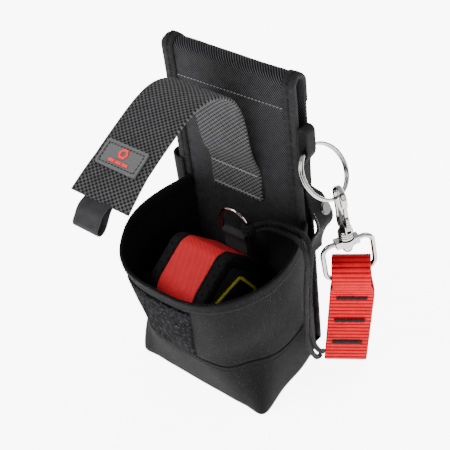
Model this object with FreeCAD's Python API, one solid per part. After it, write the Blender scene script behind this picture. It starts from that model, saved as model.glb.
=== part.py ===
import FreeCAD, Part
import math
import os

# Electrician's tool pouch with a tape measure holder, a tethering ring, snap hook and red tail tab.
# Millimetres. +X is the pouch's right hand side, its front faces -Y, and +Z is up.
# z = 0 is the surface that it stands on, y = 0 is the front face of its back panel.

V = FreeCAD.Vector
UP = V(0, 0, 1)
X_AXIS = V(1, 0, 0)
Y_AXIS = V(0, 1, 0)

# ---- driving dimensions -------------------------------------------------------------------
# back panel
PANEL_LEFT, PANEL_RIGHT = -54.8, 45.2
PANEL_BOTTOM = 0.8
TWILL_T = 1.6
FOLD_Z = 209.6  # height of the centre of the fold over the top
FOLD_R = 5.6  # the fold's outer radius
REAR_SPLIT_Z = 196.0  # where the folded twill meets the belt panel
BELT_PANEL_Y = 2 * FOLD_R - TWILL_T  # front face of the belt panel
TUNNEL_FLOOR_Z = 150.0
BINDING_T = 0.9
BINDING_W_LEFT, BINDING_W_RIGHT = 9.8, 8.7
BOARD_T = 1.5

# cup: two half outlines, from the back panel round to the middle of the front
BASE_HALF = [(46.9, 0.0), (50.4, -22.0), (51.2, -44.0), (51.0, -61.5), (40.0, -66.0), (22.0, -66.8), (0.0, -67.0)]
RIM_HALF = [(46.9, 0.0), (56.7, -27.4), (57.3, -48.7), (50.3, -65.8), (39.9, -78.6), (25.8, -86.4), (0.0, -89.1)]
RIM_BACK_Z = 113.7
RIM_SLOPE = 0.117  # the rim drops by this much per millimetre forwards
CUP_T = 2.2
CUP_BACK_Y = -BINDING_T
BASE_T = 2.5
SEAM_LEVEL = 0.37  # levels run from 0 at the base to 1 at the rim
RIM_BAND_LEVEL = 0.92
RIM_BAND_OUT = 0.7
PATCH_T = 1.3
PATCH_X = (-31.0, 21.0)
PATCH_LEAN = 10.0  # the patch's foot stands this much further to the left on its right hand edge

# flap: the webbing's centreline, sewn to the panel and sprung up and forwards
FLAP_X = (-25.0, 15.0)
FLAP_T = 2.2
FLAP_HINGE = (-1.2, 140.0)
ANCHOR_Z = (117.5, 138.6)
FLAP_LINE = [(-1.3, 140.2), (-4.8, 150.0), (-8.6, 170.0), (-11.6, 189.0), (-17.5, 201.5), (-28.0, 210.0),
             (-41.0, 213.6), (-54.0, 211.6), (-68.0, 206.3), (-82.0, 200.0), (-96.0, 193.0), (-110.0, 184.5)]
HOOK_TAPE_LINE = [(-62.0, 206.8), (-75.0, 201.3), (-88.0, 195.1), (-104.0, 186.3)]
HOOK_TAPE_T = 1.3
LABEL = (30.0, 15.5, 1.2)
LABEL_AT = (-6.2, -87.0)
LABEL_SLOPE = 26.0
PULL_TAB_X = (-16.3, 2.8)

# ring, snap hook, swivel eye and tail tab, all hanging in the plane y = CHAIN_Y
CHAIN_Y = 5.0
STRAP_Y = (-1.0, 7.4)
STRAP_T = 1.2
STRAP_GAP = 4.8
STRAP_TOP_Z, STRAP_SEAM_Z, STRAP_END_Z = 184.5, 165.0, 140.0
RING_R, RING_WIRE_R, RING_COIL_GAP = 17.0, 0.95, 1.6
RING_TOP = V(PANEL_RIGHT + STRAP_T + STRAP_GAP / 2 - 0.2, CHAIN_Y, 168.5)
RING_LEAN = 37.0
STUD_STRAP_Y, STUD_STRAP_T = (2.5, 15.5), 1.6
STUD_STRAP_LINE = [(46.0, 137.5), (46.6, 132.0), (50.6, 125.0), (55.4, 116.0), (55.4, 111.5), (51.6, 104.0),
                   (47.6, 95.0), (46.1, 88.0), (46.0, 84.0)]
STUD, STUD_LEAN = V(53.5, 10.6, 120.8), 29.0
HOOK_LEAN, HOOK_AZIMUTH = 6.5, -33.0
HOOK_IN_R, HOOK_BAR, HOOK_Y = 4.4, 3.0, 4.2
HOOK_DROP = 1.4  # from the ring's wire to the centre of the hook's bend
EYE_DROP = 34.0  # from the ring's wire to the eye's top bar
EYE_H, EYE_HALF, EYE_WIRE_R, EYE_CORNER, EYE_AZIMUTH = 25.0, 16.3, 1.6, 6.0, 56.0
TAB_HALF, TAB_T, TAB_AZIMUTH = 12.0, 1.5, 33.0
TAB_TAIL_HALF, TAB_TAIL_LEAN = 14.1, 5.5
TAB_GAP_R, TAB_ARCH_Z, TAB_JOIN_Z, TAB_END_Z = 7.6, 3.4, -18.0, -79.7
BARTACK_Z = (-20.5, -41.0, -61.5)

# tape measure in its jacket
TAPE_LINE = [(-4.5, 22.0), (-16.0, 3.6), (-53.0, 3.2), (-65.5, 20.0), (-74.0, 62.0), (-65.0, 80.0),
             (-39.0, 95.0), (-31.0, 93.5), (-3.5, 66.0)]
TAPE_FILLETS = [12.0, 10.0, 10.0, 14.0, 12.0, 16.0, 7.0, 9.0, 14.0]
JACKET_T = 1.5
BAND_X = (-25.0, 5.0)
CASE_X = (-32.0, 12.0)
CASE_WALL = 2.0
SPOOL_YZ = (-37.0, 48.0)
INLAY_LINE = [(-57.0, 69.2), (-27.7, 73.5), (-14.5, 52.0), (-17.0, 26.0), (-53.0, 24.0)]

# D-ring that stands on the jacket
D_RING_X = -2.6
D_RING_YZ = (-11.0, 90.5)
D_RING_R, D_RING_WIRE_R, D_RING_LEG = 11.35, 1.25, 7.5

# tether: two elastic cords side by side, from the hitch over the rim to the tail tab
CORD_D = 3.6
CORD_UPPER = [(17.0, -8.0, 107.0), (26.5, -7.4, 110.6), (37.0, -8.0, 113.6), (46.5, -10.6, 117.4),
              (55.4, -13.6, 119.4), (61.6, -16.0, 113.6), (61.6, -16.8, 101.0), (59.6, -17.2, 82.0),
              (58.4, -17.2, 60.0), (57.2, -17.2, 41.0), (56.8, -15.6, 25.0), (56.6, -12.0, 14.0),
              (57.3, -7.8, 8.0)]
CORD_LOWER = [(17.0, -8.2, 102.4), (26.5, -8.8, 106.0), (36.6, -11.2, 109.6), (45.6, -14.8, 114.8),
              (54.0, -18.2, 118.4), (61.2, -20.6, 113.6), (62.4, -21.2, 101.0), (60.2, -21.6, 82.0),
              (58.9, -21.6, 60.0), (57.4, -21.6, 41.0), (56.6, -20.2, 24.0), (56.4, -16.0, 12.0),
              (57.6, -11.2, 5.8)]


# ---- helpers ------------------------------------------------------------------------------
def save(shape, node):
    shape.exportStep("parts/" + node + ".step")
    print(node, "valid" if shape.isValid() else "NOT VALID", round(shape.Volume), len(shape.Solids))


def box(x0, x1, y0, y1, z0, z1):
    return Part.makeBox(x1 - x0, y1 - y0, z1 - z0, V(x0, y0, z0))


def rod(radius, start, end):
    along = end.sub(start)
    return Part.makeCylinder(radius, along.Length, start, along)


def placed(shape, origin, x_dir, z_dir):
    """The shape moved from the world's axes to an origin with the given x and z directions."""
    y_dir = z_dir.cross(x_dir)
    turn = FreeCAD.Matrix(x_dir.x, y_dir.x, z_dir.x, origin.x,
                          x_dir.y, y_dir.y, z_dir.y, origin.y,
                          x_dir.z, y_dir.z, z_dir.z, origin.z, 0, 0, 0, 1)
    moved = shape.copy()
    moved.Placement = FreeCAD.Placement(turn).multiply(moved.Placement)
    return moved


def spline_edge(points):
    curve = Part.BSplineCurve()
    curve.interpolate(points)
    return curve.toShape()


def offset_points(points, distance, count):
    """Points beside a smooth line in the YZ plane, at a distance to the left of its direction."""
    curve = Part.BSplineCurve()
    curve.interpolate([V(0, y, z) for y, z in points])
    first, last = curve.FirstParameter, curve.LastParameter
    result = []
    for i in range(count):
        at = first + (last - first) * i / (count - 1)
        tangent = curve.tangent(at)[0]
        side = V(0, -tangent.z, tangent.y)
        result.append(curve.value(at).add(side.multiply(distance)))
    return result


def ribbon(points, thickness, x_range, shift=0.0):
    """A strip of webbing: a smooth line in the YZ plane, thickened and run along X."""
    count = 3 * len(points)
    left = spline_edge(offset_points(points, shift + thickness / 2, count))
    right = spline_edge(offset_points(points, shift - thickness / 2, count))
    ends = [Part.makeLine(left.valueAt(left.FirstParameter), right.valueAt(right.FirstParameter)),
            Part.makeLine(left.valueAt(left.LastParameter), right.valueAt(right.LastParameter))]
    outline = Part.Wire(Part.__sortEdges__([left, right] + ends))
    strip = Part.Face(outline).extrude(V(x_range[1] - x_range[0], 0, 0))
    strip.translate(V(x_range[0], 0, 0))
    return strip


def rounded(points, radii):
    """A closed wire in the YZ plane with an arc of the given radius at each corner."""
    edges, ends = [], []
    count = len(points)
    for i in range(count):
        corner = V(0, *points[i])
        back = V(0, *points[i - 1]).sub(corner).normalize()
        ahead = V(0, *points[(i + 1) % count]).sub(corner).normalize()
        half = math.acos(max(-1.0, min(1.0, back.dot(ahead)))) / 2
        cut = radii[i] / math.tan(half)
        middle = back.add(ahead).normalize().multiply(radii[i] / math.sin(half) - radii[i])
        start = corner.add(V(back).multiply(cut))
        end = corner.add(V(ahead).multiply(cut))
        edges.append(Part.Arc(start, corner.add(middle), end).toShape())
        ends.append((start, end))
    for i in range(count):
        if ends[i - 1][1].distanceToPoint(ends[i][0]) > 1e-6:
            edges.append(Part.makeLine(ends[i - 1][1], ends[i][0]))
    return Part.Wire(Part.__sortEdges__(edges))


def prism_x(wire, x0, x1):
    solid = Part.Face(wire).extrude(V(x1 - x0, 0, 0))
    solid.translate(V(x0, 0, 0))
    return solid


def cord_path(points):
    """Straight runs joined by tangent arcs that are as large as the two runs beside each point allow."""
    pts = [V(*p) for p in points]
    edges, radii, last = [], [], pts[0]
    for i in range(1, len(pts) - 1):
        back, ahead = pts[i - 1].sub(pts[i]), pts[i + 1].sub(pts[i])
        cut = 0.45 * min(back.Length, ahead.Length)
        turn = math.pi - back.getAngle(ahead)
        radius = cut / math.tan(turn / 2)
        radii.append(round(radius, 1))
        back.normalize()
        ahead.normalize()
        start = pts[i].add(V(back).multiply(cut))
        end = pts[i].add(V(ahead).multiply(cut))
        inward = back.add(ahead).normalize().multiply(radius / math.cos(turn / 2) - radius)
        edges.append(Part.LineSegment(last, start).toShape())
        edges.append(Part.Arc(start, pts[i].add(inward), end).toShape())
        last = end
    edges.append(Part.LineSegment(last, pts[-1]).toShape())
    return Part.Wire(edges), radii


# ---- back panel ---------------------------------------------------------------------------
def fold_solid(outer_r, thickness, x0, x1, front_bottom, rear_bottom):
    """A sheet that rises at the front, folds over the top and comes down at the rear."""
    y_mid = FOLD_R
    inner_r = outer_r - thickness
    outer = Part.makeCylinder(outer_r, x1 - x0, V(x0, y_mid, FOLD_Z), X_AXIS)
    inner = Part.makeCylinder(inner_r, x1 - x0, V(x0, y_mid, FOLD_Z), X_AXIS)
    upper = box(x0, x1, y_mid - outer_r, y_mid + outer_r, FOLD_Z, FOLD_Z + outer_r)
    arch = outer.cut(inner).common(upper)
    front = box(x0, x1, y_mid - outer_r, y_mid - inner_r, front_bottom, FOLD_Z)
    rear = box(x0, x1, y_mid + inner_r, y_mid + outer_r, rear_bottom, FOLD_Z)
    return arch.fuse([front, rear]).removeSplitter()


def back_panel():
    left_in, right_in = PANEL_LEFT + BINDING_T, PANEL_RIGHT - BINDING_T
    save(fold_solid(FOLD_R, TWILL_T, left_in, right_in, PANEL_BOTTOM, REAR_SPLIT_Z), "twill_panel")
    rear = box(left_in, right_in, BELT_PANEL_Y, BELT_PANEL_Y + TWILL_T, PANEL_BOTTOM, REAR_SPLIT_Z)
    save(rear, "belt_panel")
    inset = 12.0
    board_y = TWILL_T + BINDING_T
    save(box(left_in + inset, right_in - inset, TWILL_T, TWILL_T + BOARD_T, 4.0, REAR_SPLIT_Z - 8.0),
         "stiffener_board")
    save(box(left_in + inset, right_in - inset, board_y + 0.7, BELT_PANEL_Y, 4.0, TUNNEL_FLOOR_Z), "foam_pad")


def binding(edge_x, inner_x, node):
    """Tape folded round one side edge of the twill and carried over the top fold."""
    x0, x1 = min(edge_x, inner_x), max(edge_x, inner_x)
    outside = fold_solid(FOLD_R + BINDING_T, BINDING_T, x0, x1, PANEL_BOTTOM, REAR_SPLIT_Z)
    web_in = edge_x + math.copysign(BINDING_T, inner_x - edge_x)
    web = fold_solid(FOLD_R, TWILL_T, min(edge_x, web_in), max(edge_x, web_in), PANEL_BOTTOM, REAR_SPLIT_Z)
    inner_lip = fold_solid(FOLD_R - TWILL_T, BINDING_T, x0, x1, PANEL_BOTTOM, REAR_SPLIT_Z)
    save(outside.fuse([web, inner_lip]).removeSplitter(), node)


# ---- cup ----------------------------------------------------------------------------------
def cup_outline(level, inset):
    """Points of the cup's outline at a level, from its right rear end round to its left rear end."""
    half = [V(b[0] + (r[0] - b[0]) * level, b[1] + (r[1] - b[1]) * level, 0)
            for b, r in zip(BASE_HALF, RIM_HALF)]
    whole = half + [V(-p.x, p.y, 0) for p in reversed(half[:-1])]
    moved = []
    for i, p in enumerate(whole):
        along = whole[min(i + 1, len(whole) - 1)].sub(whole[max(i - 1, 0)]).normalize()
        inward = V(along.y, -along.x, 0)
        q = p.add(inward.multiply(inset))
        moved.append(V(q.x, q.y, level * (RIM_BACK_Z + RIM_SLOPE * q.y)))
    return moved


def cup_loft(levels, inset):
    """A closed solid between levels of the cup, with a flat back."""
    wires = []
    for level in levels:
        points = cup_outline(level, inset)
        back = [V(p.x, 3.0, level * (RIM_BACK_Z + RIM_SLOPE * 3.0)) for p in (points[0], points[-1])]
        wires.append(Part.Wire([spline_edge(points), Part.makeLine(points[-1], back[1]),
                                Part.makeLine(back[1], back[0]), Part.makeLine(back[0], points[0])]))
    return Part.makeLoft(wires, True, True)


def in_front(shape):
    """The part of a shape that lies in front of the back panel's bindings."""
    return shape.common(box(-80, 80, -120, CUP_BACK_Y, -5, 150))


def cup_shell(low, high, outset, inset):
    outer = cup_loft([low, (low + high) / 2, high], -outset)
    inner = cup_loft([low - 0.03, (low + high) / 2, high + 0.03], inset)
    return in_front(outer.cut(inner))


def cup():
    base_level = BASE_T / RIM_BACK_Z
    floor = in_front(cup_loft([0.0, base_level], 0.0))
    under_panel = box(PANEL_LEFT + 3, PANEL_RIGHT - 0.5, -20.0, 2 * FOLD_R, 0.0, PANEL_BOTTOM)
    save(floor.fuse(under_panel).removeSplitter(), "base_panel")
    save(cup_shell(base_level, SEAM_LEVEL, 0.4, CUP_T), "cup_boot")
    save(cup_shell(SEAM_LEVEL, RIM_BAND_LEVEL, 0.0, CUP_T), "cup_wall")
    save(cup_shell(RIM_BAND_LEVEL, 1.0, RIM_BAND_OUT, CUP_T + 0.4), "rim_binding")
    patch = cup_shell(SEAM_LEVEL + 0.01, RIM_BAND_LEVEL - 0.02, PATCH_T, -0.05)
    foot_z, top_z = SEAM_LEVEL * RIM_BACK_Z - 10.0, RIM_BACK_Z
    slope = PATCH_LEAN / (RIM_BAND_LEVEL - SEAM_LEVEL) / RIM_BACK_Z
    foot_x = PATCH_X[1] - PATCH_LEAN - 10.0 * slope
    window = Part.Face(Part.makePolygon([V(PATCH_X[0], -100, foot_z), V(foot_x, -100, foot_z),
                                         V(foot_x + slope * (top_z - foot_z), -100, top_z),
                                         V(PATCH_X[0], -100, top_z), V(PATCH_X[0], -100, foot_z)]))
    save(patch.common(window.extrude(V(0, 40, 0))), "loop_patch")


# ---- loops and straps on the sides --------------------------------------------------------
def left_side_loop():
    """A short band of webbing that rounds the panel's left edge and leaves a tool loop there."""
    band_t, bend_r = 1.3, 6.7
    bend = V(PANEL_LEFT - 0.7, -0.9 - band_t / 2 + bend_r, 98.0)
    height = 28.5
    ring = Part.makeCylinder(bend_r + band_t / 2, height, bend).cut(
        Part.makeCylinder(bend_r - band_t / 2, height, bend))
    round_part = ring.common(box(-80, bend.x, -20, 30, 90, 140))
    leg_end = -50.3
    front = box(bend.x, leg_end, bend.y - bend_r - band_t / 2, bend.y - bend_r + band_t / 2, 98, 98 + height)
    rear = box(bend.x, leg_end, bend.y + bend_r - band_t / 2, bend.y + bend_r + band_t / 2, 98, 98 + height)
    save(round_part.fuse([front, rear]).removeSplitter(), "side_loop_left")


def ring_strap():
    """A small webbing loop that carries the split ring, with a doubled tail against the panel's edge."""
    y0, y1 = STRAP_Y
    width = y1 - y0
    outer_r = STRAP_GAP / 2 + STRAP_T
    middle = PANEL_RIGHT + outer_r
    bend_z = STRAP_TOP_Z - outer_r
    outside = box(PANEL_RIGHT, PANEL_RIGHT + 2 * outer_r, y0, y1, STRAP_SEAM_Z, bend_z).fuse(
        Part.makeCylinder(outer_r, width, V(middle, y0, bend_z), Y_AXIS))
    sloping_wire = Part.makePolygon([V(PANEL_RIGHT, y0, STRAP_SEAM_Z), V(PANEL_RIGHT + 2 * outer_r, y0, STRAP_SEAM_Z),
                                     V(PANEL_RIGHT + 2 * STRAP_T, y0, STRAP_SEAM_Z - 7.0),
                                     V(PANEL_RIGHT, y0, STRAP_SEAM_Z - 7.0), V(PANEL_RIGHT, y0, STRAP_SEAM_Z)])
    gather = Part.Face(sloping_wire).extrude(V(0, width, 0))
    tail = box(PANEL_RIGHT, PANEL_RIGHT + 2 * STRAP_T, y0, y1, STRAP_END_Z, STRAP_SEAM_Z)
    hole = box(middle - STRAP_GAP / 2, middle + STRAP_GAP / 2, y0, y1, STRAP_SEAM_Z, bend_z).fuse(
        Part.makeCylinder(STRAP_GAP / 2, width, V(middle, y0, bend_z), Y_AXIS))
    save(outside.fuse([gather, tail]).cut(hole).removeSplitter(), "ring_strap")


def stud_strap():
    """A strap that bulges out from the panel's edge behind the hook, with a press stud on it."""
    y0, y1 = STUD_STRAP_Y
    strap = ribbon(STUD_STRAP_LINE, STUD_STRAP_T, (-y1, -y0))
    strap.rotate(V(0, 0, 0), UP, -90)
    corner = Part.makePolygon([V(40, 8.0, 140), V(40, y1 + 1, 128.0), V(40, y1 + 1, 140), V(40, 8.0, 140)])
    strap = strap.cut(Part.Face(corner).extrude(V(30, 0, 0)))
    save(strap, "strap_anchor")
    lean = math.radians(STUD_LEAN)
    out = V(math.cos(lean), 0, math.sin(lean))
    flange = Part.makeCylinder(4.2, 1.0, STUD, out)
    crown = Part.makeCylinder(3.3, 2.0, STUD, out)
    save(flange.fuse(crown).removeSplitter().cut(strap), "press_stud")


# ---- flap ---------------------------------------------------------------------------------
def flap():
    save(box(FLAP_X[0], FLAP_X[1], -FLAP_T - 0.1, 0.0, *ANCHOR_Z), "flap_anchor")
    save(ribbon(FLAP_LINE, FLAP_T, FLAP_X), "flap_strap")
    below = FLAP_T / 2 + HOOK_TAPE_T / 2
    save(ribbon(HOOK_TAPE_LINE, HOOK_TAPE_T, (FLAP_X[0] + 2, FLAP_X[1] - 2), below - 0.9), "hook_tape")
    slope = math.radians(LABEL_SLOPE)
    label_z = 197.7
    down_slope = V(0, -math.cos(slope), -math.sin(slope))
    normal = V(0, -math.sin(slope), math.cos(slope))
    centre = V(LABEL_AT[0], LABEL_AT[1], label_z).add(V(normal).multiply(FLAP_T / 2))
    plate = box(-LABEL[0] / 2, LABEL[0] / 2, -LABEL[1] / 2, LABEL[1] / 2, 0, LABEL[2])
    corners = [e for e in plate.Edges if abs(e.tangentAt(e.FirstParameter).z) > 0.9]
    plate = plate.makeFillet(1.6, corners)
    tray = box(-LABEL[0] / 2 + 1.4, LABEL[0] / 2 - 1.4, -LABEL[1] / 2 + 1.4, LABEL[1] / 2 - 1.4, 0.8, 2)
    save(placed(plate.cut(tray), centre, X_AXIS, normal), "flap_label")
    nut = Part.Face(Part.makePolygon([V(3.4 * math.cos(a), 3.4 * math.sin(a), 0.8)
                                      for a in [math.radians(60 * k) for k in range(7)]]))
    nut = nut.extrude(V(0, 0, 0.5)).cut(Part.makeCylinder(1.7, 2, V(0, 0, 0.5)))
    nut.translate(V(0, 2.2, 0))
    bars = [box(-7.0 + 4.9 * k, -2.7 + 4.9 * k, -4.2, -2.6, 0.8, 1.3) for k in range(3)]
    emblem = Part.makeCompound([placed(s, centre, X_AXIS, normal) for s in [nut] + bars])
    save(emblem, "label_emblem")


def pull_tab():
    """A folded loop of fine tape under the flap's end."""
    x0, x1 = PULL_TAB_X
    outer = rounded([(-104.5, 185.1), (-109.5, 181.5), (-115.8, 172.6), (-122.8, 171.9), (-117.5, 182.4),
                     (-112.5, 184.9)], [0.3, 2.0, 2.0, 3.0, 4.0, 1.5])
    inner = rounded([(-111.8, 181.5), (-116.4, 174.2), (-120.6, 173.8), (-116.4, 180.8)], [0.8, 1.2, 1.6, 1.4])
    save(prism_x(outer, x0, x1).cut(prism_x(inner, x0, x1)).cut(
        ribbon(FLAP_LINE, FLAP_T, FLAP_X)), "pull_tab")


# ---- ring, hook, eye and tail tab ---------------------------------------------------------
def lean_down(degrees):
    angle = math.radians(degrees)
    return V(math.sin(angle), 0, -math.cos(angle))


RING_BOTTOM = RING_TOP.add(lean_down(RING_LEAN).multiply(2 * RING_R))
HOOK_DOWN = lean_down(HOOK_LEAN)
HOOK_CENTRE = RING_BOTTOM.add(V(HOOK_DOWN).multiply(HOOK_DROP))
EYE_TOP = RING_BOTTOM.add(V(HOOK_DOWN).multiply(EYE_DROP))
EYE_BAR = EYE_TOP.add(V(HOOK_DOWN).multiply(EYE_H))


def split_ring():
    centre = RING_TOP.add(lean_down(RING_LEAN).multiply(RING_R))
    angle = math.radians(RING_LEAN)
    axis = V(math.cos(angle), 0, math.sin(angle))
    coils = []
    for side in (-1, 1):
        middle = centre.add(V(axis).multiply(side * RING_COIL_GAP / 2))
        coils.append(Part.makeTorus(RING_R, RING_WIRE_R, middle, axis))
    save(coils[0].fuse(coils[1]), "split_ring")


def level_across(azimuth):
    """A direction across the hook's axis that is as level as it can be, at an angle from +X round +Z."""
    level = V(math.cos(math.radians(azimuth)), math.sin(math.radians(azimuth)), 0)
    return level.sub(V(HOOK_DOWN).multiply(level.dot(HOOK_DOWN))).normalize()


def hook_frame(shape):
    """From the hook's own frame, x across its opening and z up its axis, to its place on the ring."""
    return placed(shape, HOOK_CENTRE, level_across(HOOK_AZIMUTH), V(HOOK_DOWN).multiply(-1))


def snap_hook():
    out_r = HOOK_IN_R + HOOK_BAR
    half = HOOK_Y / 2
    pin_x, pin_z = HOOK_IN_R + 0.9, -19.6
    bend = Part.makeCylinder(out_r, HOOK_Y, V(0, -half, 0), Y_AXIS).cut(
        Part.makeCylinder(HOOK_IN_R, HOOK_Y, V(0, -half, 0), Y_AXIS))
    bend = bend.common(box(-out_r, out_r, -half, half, 0, out_r))
    spine = box(-out_r, -HOOK_IN_R, -half, half, -17, 0)
    nose = box(HOOK_IN_R, out_r, -half, half, -3.5, 0)
    block = box(-out_r, out_r, -half, half, -24.0, -17.0)
    block = block.makeFillet(2.0, [e for e in block.Edges if abs(e.CenterOfMass.z + 24.0) < 1e-6
                                   and abs(e.tangentAt(e.FirstParameter).y) > 0.9])
    clevis = box(pin_x - 3.1, out_r + 1, -1.35, 1.35, -22.4, -16)
    bar = bend.fuse([spine, nose]).removeSplitter()
    bar = bar.makeFillet(1.25, [e for e in bar.Edges if abs(abs(e.CenterOfMass.y) - half) < 1e-6])
    body = bar.fuse(block).cut(clevis)
    body = body.cut(Part.makeCylinder(1.0, HOOK_Y + 2, V(pin_x, -half - 1, pin_z), Y_AXIS))
    eye_z = HOOK_DROP - EYE_DROP
    collar = Part.makeCylinder(4.2, 6.0, V(0, 0, eye_z + 3.0))
    ribs = [Part.makeCylinder(4.8, 0.9, V(0, 0, eye_z + 3.6 + 1.6 * k)) for k in range(3)]
    neck = Part.makeCylinder(2.2, 6.0, V(0, 0, eye_z - 2.6))
    save(hook_frame(body.fuse([collar, neck] + ribs).removeSplitter()), "hook_body")
    head = Part.makeSphere(3.4, V(0, 0, eye_z - 4.4)).common(box(-5, 5, -5, 5, eye_z - 8, eye_z - 2.6))
    save(hook_frame(head), "swivel_rivet")
    save(hook_frame(Part.makeCylinder(0.95, HOOK_Y, V(pin_x, -half, pin_z), Y_AXIS)), "gate_pin")
    leaf = box(-0.2, 0.2, -1.0, 1.0, 0, 6.0)
    leaf.rotate(V(0, 0, 0), Y_AXIS, 34)
    leaf.translate(V(0.6, 0, -16.9))
    save(hook_frame(leaf), "gate_spring")
    rail = box(HOOK_IN_R + 0.4, out_r - 0.2, -1.1, 1.1, pin_z, -3.9)
    root = Part.makeCylinder(2.2, 2.2, V(pin_x, -1.1, pin_z), Y_AXIS)
    pad = box(out_r - 0.7, out_r + 1.0, -1.1, 1.1, -18.0, -11.0)
    grooves = [box(out_r + 0.6, out_r + 1.2, -2, 2, -17.1 + 1.7 * k, -16.4 + 1.7 * k) for k in range(4)]
    gate = rail.fuse([root, pad]).cut(Part.makeCompound(grooves))
    gate = gate.cut(Part.makeCylinder(1.02, 4, V(pin_x, -2, pin_z), Y_AXIS))
    save(hook_frame(gate.removeSplitter()), "gate")


def swivel_eye():
    """A flat boss on the hook's neck with a rectangular wire eye below it."""
    corner, h, w = EYE_CORNER, EYE_H, EYE_HALF
    path = [V(-w + corner, 0, 0), V(w - corner, 0, 0), V(w, 0, -corner), V(w, 0, -h + corner),
            V(w - corner, 0, -h), V(-w + corner, 0, -h), V(-w, 0, -h + corner), V(-w, 0, -corner)]
    bends = [V(w - corner, 0, -corner), V(w - corner, 0, -h + corner), V(-w + corner, 0, -h + corner),
             V(-w + corner, 0, -corner)]
    edges = []
    for k in range(4):
        start, end, after = path[2 * k], path[2 * k + 1], path[(2 * k + 2) % 8]
        mid = bends[k].add(end.add(after).multiply(0.5).sub(bends[k]).normalize().multiply(corner))
        edges.append(Part.makeLine(start, end))
        edges.append(Part.Arc(end, mid, after).toShape())
    wire = Part.Wire(edges)
    section = Part.Wire(Part.makeCircle(EYE_WIRE_R, path[0], X_AXIS))
    frame = wire.makePipeShell([section], True, True)
    boss = Part.makeCylinder(5.0, 4.4, V(0, 0, -2.2))
    flats = box(-7.6, 7.6, -3.2, 3.2, -2.2, 2.2)
    bore = Part.makeCylinder(2.26, 8, V(0, 0, -4))
    eye = frame.fuse([boss, flats]).cut(bore)
    save(placed(eye.removeSplitter(), EYE_TOP, level_across(EYE_AZIMUTH), V(HOOK_DOWN).multiply(-1)),
         "swivel_eye")


def tab_frame(shape):
    angle = math.radians(TAB_AZIMUTH)
    return placed(shape, EYE_BAR, V(math.cos(angle), math.sin(angle), 0), UP)


def tab_leaned(shape):
    """The tail hangs askew in its own plane below the join."""
    moved = shape.copy()
    moved.rotate(V(0, 0, TAB_JOIN_Z), Y_AXIS, TAB_TAIL_LEAN)
    return moved


def tail_tab():
    """Webbing folded over the eye's lower bar and sewn to itself; x is its width, -y its front."""
    out_r = TAB_GAP_R + TAB_T
    arch_end = TAB_JOIN_Z - 3.0
    outer = rounded([(-out_r, TAB_ARCH_Z - 4), (-TAB_T, TAB_JOIN_Z), (-TAB_T, arch_end), (TAB_T, arch_end),
                     (TAB_T, TAB_JOIN_Z), (out_r, TAB_ARCH_Z - 4), (out_r, TAB_ARCH_Z + out_r),
                     (-out_r, TAB_ARCH_Z + out_r)], [6, 1, 0.6, 0.6, 1, 6, out_r - 0.1, out_r - 0.1])
    gap = TAB_GAP_R
    inner = rounded([(-gap, TAB_ARCH_Z - 4), (-0.3, TAB_JOIN_Z + 1), (0.3, TAB_JOIN_Z + 1), (gap, TAB_ARCH_Z - 4),
                     (gap, TAB_ARCH_Z + gap), (-gap, TAB_ARCH_Z + gap)], [6, 0.1, 0.1, 6, gap - 0.1, gap - 0.1])
    arch = prism_x(outer, -TAB_HALF, TAB_HALF).cut(prism_x(inner, -TAB_HALF, TAB_HALF))
    tail = box(-TAB_TAIL_HALF, TAB_TAIL_HALF, -TAB_T, TAB_T, TAB_END_Z, TAB_JOIN_Z - 0.5)
    save(tab_frame(arch.fuse(tab_leaned(tail)).removeSplitter()), "tail_tab")
    tacks = [box(-10, 10, -TAB_T - 0.5, -TAB_T, z - 1.3, z + 1.3) for z in BARTACK_Z]
    save(tab_frame(tab_leaned(Part.makeCompound(tacks))), "tab_bartacks")


# ---- tape measure and its jacket ----------------------------------------------------------
def tape_outline(inset):
    wire = rounded(TAPE_LINE, TAPE_FILLETS)
    return wire if inset == 0 else wire.makeOffset2D(-inset)


def tape_ring(inset_out, inset_in, x0, x1):
    return prism_x(tape_outline(inset_out), x0, x1).cut(prism_x(tape_outline(inset_in), x0, x1))


def jacket():
    save(tape_ring(0, JACKET_T, *BAND_X), "jacket_band")
    lip_x, lip_t, lip_w = 0.05, 1.3, 8.0
    right = tape_ring(0.2, JACKET_T, BAND_X[1], CASE_X[1] + lip_x).fuse(
        tape_ring(0.6, lip_w, CASE_X[1] + lip_x, CASE_X[1] + lip_x + lip_t))
    left = tape_ring(0.2, JACKET_T, CASE_X[0] - lip_x, BAND_X[0]).fuse(
        tape_ring(0.6, lip_w, CASE_X[0] - lip_x - lip_t, CASE_X[0] - lip_x))
    save(right, "jacket_edge_right")
    save(left, "jacket_edge_left")


def case_half(x_side, x_split, node):
    x0, x1 = min(x_side, x_split), max(x_side, x_split)
    shell = prism_x(tape_outline(JACKET_T + 0.02), x0, x1)
    wall = math.copysign(CASE_WALL, x_split - x_side)
    hollow = prism_x(tape_outline(JACKET_T + CASE_WALL), min(x_side + wall, x_split), max(x_side + wall, x_split))
    save(shell.cut(hollow), node)


def inlay_strip(x0, x1, node):
    radii = [5.0] * len(INLAY_LINE)
    wire = rounded(INLAY_LINE, radii)
    save(prism_x(wire, x0, x1).cut(prism_x(wire.makeOffset2D(-2.0), x0, x1)), node)


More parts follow.
